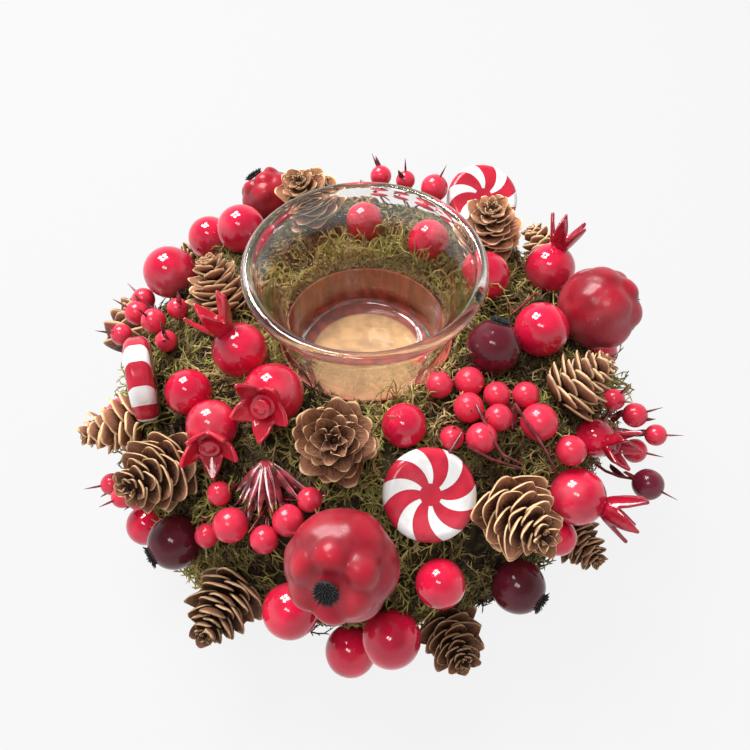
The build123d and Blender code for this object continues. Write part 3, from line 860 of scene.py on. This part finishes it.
class CANDLERING_OT_stage(bpy.types.Operator):
    """Sets the floor, lamps, world and camera"""

    bl_idname = "candle_ring.stage"
    bl_label = "Stage"

    def execute(self, context):
        settings = context.scene.candle_ring_stage
        floor_mesh = bpy.data.meshes.new("floor")
        bm = bmesh.new()
        bmesh.ops.create_grid(bm, x_segments=8, y_segments=8, size=FLOOR_SIZE)
        bm.to_mesh(floor_mesh)
        bm.free()
        floor = bpy.data.objects.new("floor", floor_mesh)
        context.scene.collection.objects.link(floor)

        floor_mesh.materials.append(self.floor_white())
        context.scene.world = self.studio(settings)

        for name, place, size, power in self.lamps(settings):
            lamp = bpy.data.lights.new(name, "AREA")
            lamp.size = size
            lamp.energy = power
            obj = bpy.data.objects.new(name, lamp)
            obj.location = place
            obj.rotation_euler = (LAMP_TARGET - place).to_track_quat("-Z", "Y").to_euler()
            obj.visible_glossy = name != "fill"
            obj.visible_transmission = False
            context.scene.collection.objects.link(obj)

        camera = bpy.data.cameras.new("camera")
        camera.sensor_width = SENSOR
        camera.lens = LENS
        camera.clip_start = 0.01
        eye = bpy.data.objects.new("camera", camera)
        away = aim(270, math.degrees(settings.height))
        eye.location = Vector(settings.target) + away * settings.distance
        eye.rotation_euler = (-away).to_track_quat("-Z", "Y").to_euler()
        context.scene.collection.objects.link(eye)
        context.scene.camera = eye
        context.scene.view_settings.view_transform = "Standard"
        return {"FINISHED"}

    @staticmethod
    def lamps(settings):
        """Four panes of a window behind on the left, two of a skylight, and a broad fill by the camera."""
        azimuth, elevation = WINDOW_AIM
        window = aim(azimuth, elevation) * PANE_DISTANCE
        side = aim(azimuth - 90, 0)
        rise = aim(azimuth, elevation - 90)
        for column in (-1, 1):
            for row in (-1, 1):
                place = window + side * column * settings.pane * 0.62 + rise * row * settings.pane * 0.62
                yield f"pane{column}{row}", place, settings.pane, settings.window
        skylight = aim(*SKYLIGHT_AIM) * PANE_DISTANCE
        side = aim(SKYLIGHT_AIM[0] - 90, 0)
        for column in (-1, 1):
            place = skylight + side * column * settings.pane * 0.45
            yield f"skylight{column}", place, settings.pane * 0.75, settings.skylight
        yield "fill", aim(*FILL_AIM) * FILL_DISTANCE, FILL_SIZE, settings.fill

    @staticmethod
    def seen_directly(tree):
        """Share that is 1 for what the camera sees straight, in a mirror or through glass."""
        path = node(tree, "LightPath").outputs
        first = math_of(tree, "MAXIMUM", path["Is Camera Ray"], path["Is Glossy Ray"])
        return math_of(tree, "MAXIMUM", first, path["Is Transmission Ray"])

    def floor_white(self):
        material, tree, shader, _ = mottled(
            "floor_white", 3.0, (0.80, 0.80, 0.80, 1), (0.82, 0.82, 0.82, 1),
            Roughness=0.9, Specular_IOR_Level=0.1,
        )
        glow = node(tree, "Emission", {"Color": opaque([FLOOR_GLOW] * 3), "Strength": 1.0})
        share = math_of(tree, "MULTIPLY", self.seen_directly(tree), FLOOR_SHARE)
        mix_shaders(tree, "Material Output", share, shader, glow)
        return material

    def studio(self, settings):
        """Even light all round, with a ceiling that mirrors darker than the walls."""
        world = bpy.data.worlds.new("studio")
        world.use_nodes = True
        tree = world.node_tree
        light = tree.nodes["Background"]
        light.inputs["Color"].default_value = (1, 1, 1, 1)
        light.inputs["Strength"].default_value = settings.ambient
        way = tree.nodes.new("ShaderNodeTexCoord").outputs["Generated"]
        rise = node(tree, "SeparateXYZ", {"Vector": way}).outputs["Z"]
        dim = ranged(tree, rise, 0.3, 0.7, end=settings.ceiling)
        lost = math_of(tree, "MULTIPLY", dim, node(tree, "LightPath").outputs["Is Glossy Ray"])
        level = math_of(tree, "SUBTRACT", 1.0, lost)
        white = node(tree, "Background", {"Color": opaque([WALL_WHITE] * 3), "Strength": level})
        mix_shaders(tree, "World Output", self.seen_directly(tree), light, white)
        return world


class CANDLERING_OT_support(bpy.types.Operator):
    """Finishes the base card, foam, paper lining and wires"""

    bl_idname = "candle_ring.support"
    bl_label = "Card, foam and lining"

    def execute(self, context):
        kraft = context.scene.candle_ring_holder.kraft
        floor = ((CUP_SEAT + 0.3) * MM, SEAT_RADIUS * MM, context.scene.candle_ring_holder.seat)
        repaint("recess_liner", paper("kraft_paper", kraft, 260.0, floor))
        repaint("base_card", paper("card", (0.30, 0.20, 0.11), 200.0))
        foam, *_ = mottled("foam", 900.0, (0.05, 0.09, 0.04, 1), (0.09, 0.14, 0.06, 1), Roughness=0.9)
        repaint("foam_core", foam)
        wire, *_ = mottled(
            "wire", 700.0, (0.16, 0.15, 0.14, 1), (0.34, 0.32, 0.30, 1), Metallic=1.0, Roughness=0.4
        )
        repaint("pick_wires", wire)
        return {"FINISHED"}


class CANDLERING_OT_cup(bpy.types.Operator):
    """Finishes the glass cup"""

    bl_idname = "candle_ring.cup"
    bl_label = "Glass cup"

    def execute(self, context):
        settings = context.scene.candle_ring_holder
        material, tree, shader, spot = start_material(
            "clear_glass", Base_Color=(0.94, 0.92, 0.90, 1), Roughness=0.0, Transmission_Weight=1.0,
            IOR=settings.glass_index, Coat_Weight=1.0, Coat_Roughness=0.0,
        )
        add_bump(tree, shader, cloud(tree, spot, 38.0, 1.0), 0.1, 0.002)
        clear = node(tree, "BsdfTransparent", {"Color": (0.96, 0.97, 0.96, 1)})
        path = node(tree, "LightPath").outputs
        passing = math_of(tree, "MAXIMUM", path["Is Shadow Ray"], path["Is Diffuse Ray"])
        caught = math_of(tree, "GREATER_THAN", path["Ray Depth"], GLASS_DEPTH)
        mix_shaders(tree, "Material Output", math_of(tree, "MAXIMUM", passing, caught), shader, clear)
        piece(self.blown(), "cup_glass", CUP, [material], ["glass_cup"])
        return {"FINISHED"}

    @staticmethod
    def blown():
        """Cup section turned about the upright axis, from under the floor, round the lip, to the inside."""
        under = [(0, CUP_HOLLOW), (CUP_FOOT * 0.5, CUP_HOLLOW * 0.8), (CUP_FOOT * 0.8, CUP_HOLLOW * 0.3)]
        under += [(CUP_FOOT - 2.2, CUP_CLEAR), (CUP_FOOT - 1.2, CUP_CLEAR)]
        under += [(CUP_FOOT - 0.3, 0.8), (CUP_FOOT, 2)]
        wall = []
        flare = []
        for step in range(1, 13):
            share = step / 12
            wall.append((blend(CUP_FOOT, CUP_NECK, share), blend(2, CUP_NECK_HEIGHT, share)))
        for step in range(1, 9):
            share = step / 9
            height = blend(CUP_NECK_HEIGHT, CUP_HEIGHT - CUP_LIP, share)
            flare.append((blend(CUP_NECK, CUP_RIM - CUP_LIP * 0.3, share ** 1.7), height))
        bead = [
            (CUP_RIM - CUP_LIP * (1 - math.cos(angle)), CUP_HEIGHT - CUP_LIP * (1 - math.sin(angle)))
            for angle in [math.radians(step * 20) for step in range(-1, 10)]
        ]
        sides = [spot for spot in reversed(wall + flare) if spot[1] > CUP_FLOOR + 4]
        inside = [(radius - CUP_WALL, height) for radius, height in sides]
        floor = [(CUP_FLOOR_RADIUS - 0.2, CUP_FLOOR + 2), (CUP_FLOOR_RADIUS - 1, CUP_FLOOR + 0.7)]
        floor += [(CUP_FLOOR_RADIUS - 2.5, CUP_FLOOR + 0.1), (CUP_FLOOR_RADIUS * 0.6, CUP_FLOOR)]
        floor += [(0, CUP_FLOOR)]
        section = under + wall + flare + bead + inside + floor
        return lathe([(radius * MM, 0, (CUP_SEAT + height) * MM) for radius, height in section], CUP_TURNS)


class CANDLERING_OT_moss(bpy.types.Operator):
    """Lays the moss: a lumpy bed and patches of tangled sprigs"""

    bl_idname = "candle_ring.moss"
    bl_label = "Moss"

    def execute(self, context):
        settings = context.scene.candle_ring_moss
        fibre = moss_fibre("moss_fibre", settings)
        piece(self.bed(settings), "moss_bed", RING, [self.shaded_bed(settings)], ["moss_blanket"])
        for patch in range(settings.patches):
            name = f"moss_sprigs_{patch + 1}"
            paths, tints = self.sprigs(settings, patch)
            mesh = strands_mesh(name, paths, settings.thickness)
            corners = len(mesh.vertices) // sum(len(points) for points, _ in paths)
            shades = [tint for (points, _), tint in zip(paths, tints) for _ in range(corners * len(points))]
            mesh.attributes.new("tint", "FLOAT", "POINT").data.foreach_set("value", shades)
            mesh.materials.clear()
            mesh.shade_smooth()
            set_piece(mesh, name, RING, [fibre])
        return {"FINISHED"}

    @staticmethod
    def shaded_bed(settings):
        # Painted shade: the bed is near black, mottled with a darkened copy of the olive, for the shade
        # under the sprigs
        material, tree, shader, spot = mottled(
            "moss_bed", 300.0, opaque(settings.shaded_bed), opaque(settings.olive, 0.3),
            Roughness=0.9, Specular_IOR_Level=0.2,
        )
        roughen(tree, shader, spot, 900.0, 1.0, 0.8, 0.0012)
        return material

    @staticmethod
    def bed(settings):
        """Closed moss section turned about the upright axis, then made lumpy."""
        foot = math.degrees(math.asin((MOSS_FOOT - MOUND_CENTRE) / MOSS_RISE))
        climbs = [blend(foot, 90, step / 40) for step in range(41)]
        climbs += [90 + blend(0, MOUND_RADIUS - RECESS_RADIUS, (step + 1) / 12) for step in range(12)]
        outer = [moss_point(0, climb) for climb in climbs]
        inner = [point - normal * MOSS_DEPTH * MM for point, normal in reversed(outer)]
        inner[-1].z = MOSS_FOOT * MM
        bm = lathe([point for point, _ in outer] + inner, MOSS_TURNS, closed=True)
        bm.normal_update()
        for vert in bm.verts:
            if moss_level(vert.co) < 0.97 or vert.co.z / MM < MOSS_FOOT + 1:
                continue
            lumps = noise.fractal(vert.co * 160, 1.0, 2.0, 4)
            vert.co += vert.normal * settings.rough * max(lumps, -0.7)
        return bm

    @staticmethod
    def sprigs(settings, seed):
        """Clumps of curling sprigs, tufts and long dry strands over the bed, and their tints."""
        dice = random.Random(seed)
        paths = []
        tints = []
        for _ in range(settings.clumps):
            ring = dice.uniform(0, 360)
            climb = dice.uniform(MOSS_LOWEST, MOSS_HIGHEST)
            pile = 1 + 1.8 * smooth((climb - 93) / 9)
            stand = settings.loft * dice.uniform(0.2, 1.25) ** 1.6 * pile
            # Painted light: clumps piled higher by the glass are painted lighter
            tint = dice.choice(MOSS_TINTS) + 0.1 * (pile - 1)
            for _ in range(settings.sprigs):
                add_sprig(settings, dice, (ring, climb, stand, tint, settings.spread / MM, 1), paths, tints)
        for ring, climb, stand in MOSS_TUFTS[seed::settings.patches]:
            for _ in range(settings.sprigs * 2):
                add_sprig(settings, dice, (ring, climb, stand * MM, 0.7, 2.6, 1), paths, tints)
        for _ in range(settings.dry):
            ring = dice.uniform(0, 360)
            climb = dice.uniform(MOSS_LOWEST, MOSS_HIGHEST)
            stand = settings.loft * dice.uniform(1.2, 2.2)
            add_sprig(settings, dice, (ring, climb, stand, dice.uniform(0.75, 1), 2, 2.2), paths, tints)
        return paths, tints


def climb_rate(climb):
    """Climb that one mm along the moss makes: degrees on the curve, mm on the flat top."""
    return 1 if climb > 90 else 180 / math.pi / MOSS_RISE


def add_sprig(settings, dice, clump, paths, tints):
    """One curling stem near a clump's middle with short side leaves."""
    ring, climb, stand, tint, spread, stretch = clump
    radius = math.hypot(*moss_point(ring, climb)[0].xy) / MM
    ring += math.degrees(dice.gauss(0, spread) / radius)
    climb += dice.gauss(0, spread) * climb_rate(climb)
    climb = min(max(climb, MOSS_LOWEST), MOSS_HIGHEST)
    heading = dice.uniform(0, math.tau)
    curl = dice.uniform(-0.7, 0.7) / stretch
    length = settings.length * stretch * dice.uniform(0.6, 1.5) / SPRIG_STEPS / MM
    loft = stand * dice.uniform(0.2, 1.1)
    tint += dice.gauss(0, 0.09)
    points = []
    normals = []
    for step in range(SPRIG_STEPS + 1):
        bow = math.sin(math.pi * (step + 0.3) / (SPRIG_STEPS + 0.6))
        lift = loft * bow + dice.uniform(-0.12, 0.12) * settings.loft + 0.0002
        point, normal = moss_point(ring, climb, lift)
        points.append(point)
        normals.append(normal)
        heading += curl + dice.uniform(-0.5, 0.5)
        ring += math.degrees(length * math.cos(heading) / (math.hypot(point.x, point.y) / MM))
        climb = min(max(climb + length * math.sin(heading) * climb_rate(climb), MOSS_LOWEST), MOSS_HIGHEST)
    paths.append((points, SPRIG_TAPER))
    tints.append(tint)
    for step in range(1, SPRIG_STEPS):
        along = (points[step + 1] - points[step - 1]).normalized()
        side = along.cross(normals[step]) * dice.choice((-1, 1))
        way = along * 0.7 + side * dice.uniform(0.4, 0.9) + normals[step] * dice.uniform(-0.1, 0.6)
        leaf = settings.length * dice.uniform(0.12, 0.3)
        tip = points[step] + way.normalized() * leaf
        middle = (points[step] + tip) / 2 + along * leaf * 0.12
        paths.append(((points[step], middle, tip), LEAF_TAPER))
        tints.append(tint + dice.uniform(0, 0.15))


class CANDLERING_OT_cones(bpy.types.Operator):
    """Makes the pine cones"""

    bl_idname = "candle_ring.cones"
    bl_label = "Pine cones"

    def execute(self, context):
        settings = context.scene.candle_ring_cones
        painted_light_browns = {}
        for seed, (name, (azimuth, elevation, painted_light)) in enumerate(CONES.items()):
            # Painted light: each cone gets its own copy of the scale colours, lightened or darkened by its
            # gain for the light that falls on it
            if painted_light not in painted_light_browns:
                painted_light_browns[painted_light] = bark(f"cone_brown_painted_light_{painted_light:.2f}", settings, painted_light)
            bm = pine_cone(settings, seed)
            bmesh.ops.transform(bm, verts=bm.verts, matrix=turn_to(aim(azimuth, elevation)))
            fit_to(bm, bm.verts, *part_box(name))
            obj = piece(bm, name + "_scales", RING, [painted_light_browns[painted_light]], [name])
            subdivide(obj, 1)
        return {"FINISHED"}


class CANDLERING_OT_berries(bpy.types.Operator):
    """Makes the single red berries"""

    bl_idname = "candle_ring.berries"
    bl_label = "Red berries"

    def execute(self, context):
        settings = context.scene.candle_ring_berries
        red = lacquer("red_lacquer", settings.red, 0.3)
        for name in BERRY_GROUPS:
            bm = bmesh.new()
            for seed, (centre, radius) in enumerate(balls(name)):
                add_ball(bm, centre, radius, settings.wobble, seed + len(name))
            piece(bm, name + "_balls", RING, [red], [name])
        return {"FINISHED"}


class CANDLERING_OT_dark_berries(bpy.types.Operator):
    """Makes the dark berries and their dry calyxes"""

    bl_idname = "candle_ring.dark_berries"
    bl_label = "Dark berries"

    def execute(self, context):
        settings = context.scene.candle_ring_berries
        dark = lacquer("burgundy_lacquer", settings.dark, 0.12, coat=0.2, shine=0.25, uneven=0.3)
        black = calyx_black(settings)
        bodies = bmesh.new()
        caps = bmesh.new()
        seats = [centre for centre, _ in balls("dark_berry_calyxes")]
        for seed, (centre, radius) in enumerate(balls("dark_berries")):
            axis = facing(centre, seats)
            verts = add_ball(bodies, centre, radius, settings.wobble, seed)
            add_dimple(verts, centre, radius, axis, 0.5, 0.09)
            add_calyx(caps, centre + axis * radius * DARK_SEAT, axis, DARK_CALYX, seed)
        piece(bodies, "dark_berry_balls", RING, [dark], ["dark_berries"])
        piece(caps, "dark_berry_tufts", RING, [black], ["dark_berry_calyxes"])
        return {"FINISHED"}


def facing(centre, seats):
    """Way from a fruit's middle to the nearest of the calyx seats."""
    nearest = min(seats, key=lambda seat: (seat - centre).length)
    return (nearest - centre).normalized()


def calyx_black(settings):
    if "calyx_black" in bpy.data.materials:
        return bpy.data.materials["calyx_black"]
    dull = {"Roughness": 0.8, "Specular_IOR_Level": 0.08}
    return mottled("calyx_black", 700.0, opaque(settings.calyx), opaque(settings.calyx, 2.2), **dull)[0]


class CANDLERING_OT_fruits(bpy.types.Operator):
    """Makes the large fruits, knobbly round their calyxes"""

    bl_idname = "candle_ring.fruits"
    bl_label = "Large fruits"

    def execute(self, context):
        settings = context.scene.candle_ring_berries
        skin = waxy("fruit_red", settings.fruit)
        black = calyx_black(settings)
        caps = bmesh.new()
        seats = [centre for centre, _ in balls("fruit_calyxes")]
        for seed, name in enumerate(FRUITS):
            low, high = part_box(name)
            centre = (low + high) / 2
            radius = max(high - low) / 2
            axis = facing(centre, seats)
            bm = bmesh.new()
            bulge = bm.verts.layers.float.new("bulge")
            verts = add_ball(bm, Vector(), radius, 0.015, seed)
            for vert in verts:
                spot = vert.co / radius
                vert[bulge] = self.knob(spot, seed)
                vert.co = self.knobbly(spot, vert[bulge], seed) * radius
            bmesh.ops.transform(bm, verts=verts, matrix=Matrix.Translation(centre) @ turn_to(axis))
            piece(bm, name + "_skin", RING, [skin], [name])
            add_calyx(caps, centre + axis * radius * FRUIT_SEAT, axis, FRUIT_CALYX, seed + 9)
        piece(caps, "fruit_tufts", RING, [black], ["fruit_calyxes"])
        return {"FINISHED"}

    @staticmethod
    def knob(point, seed):
        """Height of the round knobs in a ring round the calyx, and of the fainter ones further off."""
        height = 0
        for index in range(FRUIT_KNOBS):
            around = 360 / FRUIT_KNOBS * index + 40 * seed
            near = aim(around, 51 + 5 * math.sin(index * 2.3 + seed))
            far = aim(around + 180 / FRUIT_KNOBS, 12 + 8 * math.cos(index * 1.7 + seed))
            height = max(height, 1 - (point.angle(near) / KNOB_REACH) ** 2)
            height = max(height, 0.6 - (point.angle(far) / FAINT_REACH) ** 2)
        return height

    @staticmethod
    def knobbly(point, bulge, seed):
        """Point of the skin with its knobs, gentle lumps and the sunk seat of the calyx."""
        lift = 0.9 + 0.11 * bulge + 0.03 * noise.noise(point * 2.2 + Vector((seed * 5, 0, 0)))
        sunk = 0.1 * smooth((point.z - 0.82) / 0.16)
        return Vector((point.x * lift, point.y * lift, point.z * lift * 0.95 - sunk))


class CANDLERING_OT_pomegranates(bpy.types.Operator):
    """Makes the small pomegranates and their crowns"""

    bl_idname = "candle_ring.pomegranates"
    bl_label = "Pomegranates"

    def execute(self, context):
        settings = context.scene.candle_ring_berries
        red = lacquer("pomegranate_red", settings.red, 0.35)
        crown = lacquer("crown_red", settings.crown, 0.1, coat=0.7, uneven=0.45)
        light = lacquer("crown_painted_light", settings.crown_painted_light, 0.1, coat=0.7, uneven=0.45)
        for seed, (name, (azimuth, elevation, diameter, *crowned)) in enumerate(POMEGRANATES.items()):
            bm = pomegranate(seed, settings.wobble, diameter / 2 * MM, *crowned)
            bmesh.ops.transform(bm, verts=bm.verts, matrix=turn_to(aim(azimuth, elevation)))
            low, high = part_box(name)
            own_low, own_high = box_of([vert.co for vert in bm.verts])
            bmesh.ops.translate(bm, verts=bm.verts, vec=(low + high - own_low - own_high) / 2)
            # Painted light: the crowns on the left take the lighter copy of the crown red
            shade = light if name in PAINTED_LIGHT_CROWNS else crown
            obj = piece(bm, name + "_fruit", RING, [red, shade], [name])
            subdivide(obj, 1)
        return {"FINISHED"}


def pomegranate(seed, wobble, radius, crown_height, crown_mouth):
    """Round body with its crown up: a tube of five pointed lobes round the scar of the flower."""
    bm = bmesh.new()
    add_ball(bm, Vector(), radius, wobble, seed, levels=4)
    body = set(bm.faces)
    dice = random.Random(seed)
    spread = math.pi / CROWN_POINTS
    petals = []
    for index in range(CROWN_POINTS):
        middle = 2 * index * spread
        tall = dice.uniform(-0.1, 0.04)
        lean = dice.uniform(-0.1, 0.06)
        made = bmesh.ops.create_grid(bm, x_segments=4, y_segments=9, size=1)["verts"]
        for vert in made:
            across = vert.co.x
            along = (vert.co.y + 1) / 2
            free = max(along - CROWN_TUBE, 0) / (1 - CROWN_TUBE)
            angle = middle + across * spread * max(1 - free, 0.07)
            flare = blend(CROWN_NECK, crown_mouth * (1 + lean * free), along ** 0.8)
            rise = radius / MM - CROWN_SINK + crown_height * along * (1 + tall * free)
            vert.co = Vector((flare * math.cos(angle), flare * math.sin(angle), rise)) * MM
        petals += made
    bmesh.ops.remove_doubles(bm, verts=petals, dist=CROWN_WELD)
    faces = [face for face in bm.faces if face not in body]
    bmesh.ops.recalc_face_normals(bm, faces=faces)
    bmesh.ops.solidify(bm, geom=faces, thickness=CROWN_WALL)
    scar = bmesh.ops.create_cone(
        bm, cap_ends=True, segments=20, radius1=CROWN_NECK * MM, radius2=(CROWN_NECK + 0.5) * MM,
        depth=SCAR_DEPTH, matrix=Matrix.Translation((0, 0, radius + SCAR_RISE)),
    )["verts"]
    top = max(faces_of(scar), key=lambda face: face.calc_center_median().z)
    for inset, sink in SCAR_STEPS:
        bmesh.ops.inset_region(bm, faces=[top], thickness=inset, depth=sink)
    for face in bm.faces:
        face.material_index = 0 if face in body else 1
    return bm


class CANDLERING_OT_peppermints(bpy.types.Operator):
    """Finishes the peppermint discs and their swirls"""

    bl_idname = "candle_ring.peppermints"
    bl_label = "Peppermints"

    def execute(self, context):
        settings = context.scene.candle_ring_holder
        red = lacquer("candy_red", settings.candy_red, 0.15, gloss=0.25, coat=0.15, shine=0.3)
        white = lacquer("candy_white", settings.candy_white, 0.1, gloss=0.3, coat=0.1, shine=0.25)
        for name in PEPPERMINTS:
            repaint(name, red)
            repaint(name + "_stripes", white)
        return {"FINISHED"}


class CANDLERING_OT_sprays(bpy.types.Operator):
    """Makes the berry sprays: bent tapering twigs and small berries"""

    bl_idname = "candle_ring.sprays"
    bl_label = "Berry sprays"

    def execute(self, context):
        settings = context.scene.candle_ring_berries
        red = bpy.data.materials["red_lacquer"]
        ripe = bpy.data.materials["burgundy_lacquer"]
        wood = self.twig_red(settings)
        for order, name in enumerate(SPRAYS):
            bm = bmesh.new()
            for seed, (centre, radius) in enumerate(balls(name + "_berries")):
                verts = add_ball(bm, centre, radius, settings.wobble * 1.5, seed + order * 9, levels=4)
                if name in RIPE_SPRAYS and radius > RIPE_SPRAYS[name] * MM:
                    for face in faces_of(verts):
                        face.material_index = 1
            piece(bm, name + "_fruitlets", RING, [red, ripe], [name + "_berries"])
            piece(self.stems(name, order), name + "_stems", RING, [wood], [name + "_twigs"])
        return {"FINISHED"}

    @staticmethod
    def twig_red(settings):
        """Glossy dark stems and bracts, dry and tan at the tips."""
        material, tree, shader, spot = start_material(
            "twig_red", Roughness=0.25, Coat_Weight=0.4, Coat_Roughness=0.1
        )
        tint = mottle(tree, spot, 350.0, opaque(settings.twig, 0.6), opaque(settings.twig, 1.7))["Color"]
        tip = ranged(tree, attribute(tree, "reach"), 0.8, 1.0)
        tree.links.new(mix_colour(tree, tip, tint, (0.42, 0.22, 0.10, 1)), shader.inputs["Base Color"])
        return material

    @staticmethod
    def stems(name, order):
        """Bent tapering stems on the CAD twigs' lines, with bracts along them."""
        dice = random.Random(order)
        paths = []
        bracts = []
        for points in islands(name + "_twigs"):
            middle = sum(points, Vector()) / len(points)
            one = max(points, key=lambda point: (point - middle).length)
            other = max(points, key=lambda point: (point - one).length)
            foot, tip = sorted((one, other), key=moss_level)
            along = tip - foot
            sway = Vector((dice.uniform(-1, 1), dice.uniform(-1, 1), 0.2))
            bend = along.cross(sway).normalized() * along.length
            line = []
            for step in range(len(TWIG_TAPER)):
                share = step / (len(TWIG_TAPER) - 1)
                line.append(foot + along * share + bend * 0.1 * math.sin(math.pi * min(share / 0.6, 1)))
            paths.append((line, TWIG_TAPER))
            for _ in range(2):
                lean = Vector((dice.uniform(-1, 1), dice.uniform(-1, 1), dice.uniform(-0.4, 1)))
                way = (along.normalized() + lean * 0.55).normalized()
                front = aim(dice.uniform(0, 360), dice.uniform(-40, 80))
                start = foot + along * dice.uniform(0.2, 0.55)
                bracts.append((start, way, front, dice.uniform(*BRACT_LENGTHS)))
        for spots in LOOSE_STEMS.get(name, ()):
            line = [moss_point(ring, climb, lift * MM)[0] for ring, climb, lift in spots]
            paths.append((line, LOOSE_TAPER[: len(line)]))
        mesh = strands_mesh(name + "_stems", paths, TWIG_RADIUS, 1)
        bm = bmesh.new()
        bm.from_mesh(mesh)
        bpy.data.meshes.remove(mesh)
        bm.verts.layers.float.new("reach")
        if name in STRAP_KNOTS:
            knot, tips = STRAP_KNOTS[name]
            foot, front = moss_point(knot[0], knot[1], knot[2] * MM)
            for ring, climb, lift in tips:
                way = moss_point(ring, climb, lift * MM)[0] - foot
                bracts.append((foot, way.normalized(), front, way.length * dice.uniform(0.95, 1.15)))
        for foot, way, front, length in bracts:
            add_bract(bm, foot, way, front, length, BRACT_WIDTH, dice)
        return bm


class CANDLERING_PT_panel(bpy.types.Panel):
    """Lists the pieces of the candle ring"""

    bl_label = "Candle ring"
    bl_idname = "CANDLERING_PT_panel"
    bl_space_type = "VIEW_3D"
    bl_region_type = "UI"
    bl_category = "Candle ring"

    def draw(self, context):
        for operator in OPERATORS:
            self.layout.operator(operator.bl_idname)


SETTINGS = {
    "candle_ring_moss": MossSettings,
    "candle_ring_cones": ConeSettings,
    "candle_ring_berries": BerrySettings,
    "candle_ring_holder": HolderSettings,
    "candle_ring_stage": StageSettings,
}
OPERATORS = (
    CANDLERING_OT_stage,
    CANDLERING_OT_support,
    CANDLERING_OT_moss,
    CANDLERING_OT_cup,
    CANDLERING_OT_cones,
    CANDLERING_OT_berries,
    CANDLERING_OT_dark_berries,
    CANDLERING_OT_fruits,
    CANDLERING_OT_pomegranates,
    CANDLERING_OT_peppermints,
    CANDLERING_OT_sprays,
)


def register():
    for cls in (*SETTINGS.values(), *OPERATORS, CANDLERING_PT_panel):
        bpy.utils.register_class(cls)
    for name, settings in SETTINGS.items():
        setattr(bpy.types.Scene, name, PointerProperty(type=settings))


def unregister():
    for name in SETTINGS:
        delattr(bpy.types.Scene, name)
    for cls in (CANDLERING_PT_panel, *reversed(OPERATORS), *SETTINGS.values()):
        bpy.utils.unregister_class(cls)


def main():
    register()
    mottle_group()
    grain_group()
    specks_group()
    bpy.ops.candle_ring.stage()
    bpy.ops.candle_ring.support()
    bpy.ops.candle_ring.moss()
    bpy.ops.candle_ring.cup()
    bpy.ops.candle_ring.cones()
    bpy.ops.candle_ring.berries()
    bpy.ops.candle_ring.dark_berries()
    bpy.ops.candle_ring.fruits()
    bpy.ops.candle_ring.pomegranates()
    bpy.ops.candle_ring.peppermints()
    bpy.ops.candle_ring.sprays()


if __name__ == "__main__":
    main()
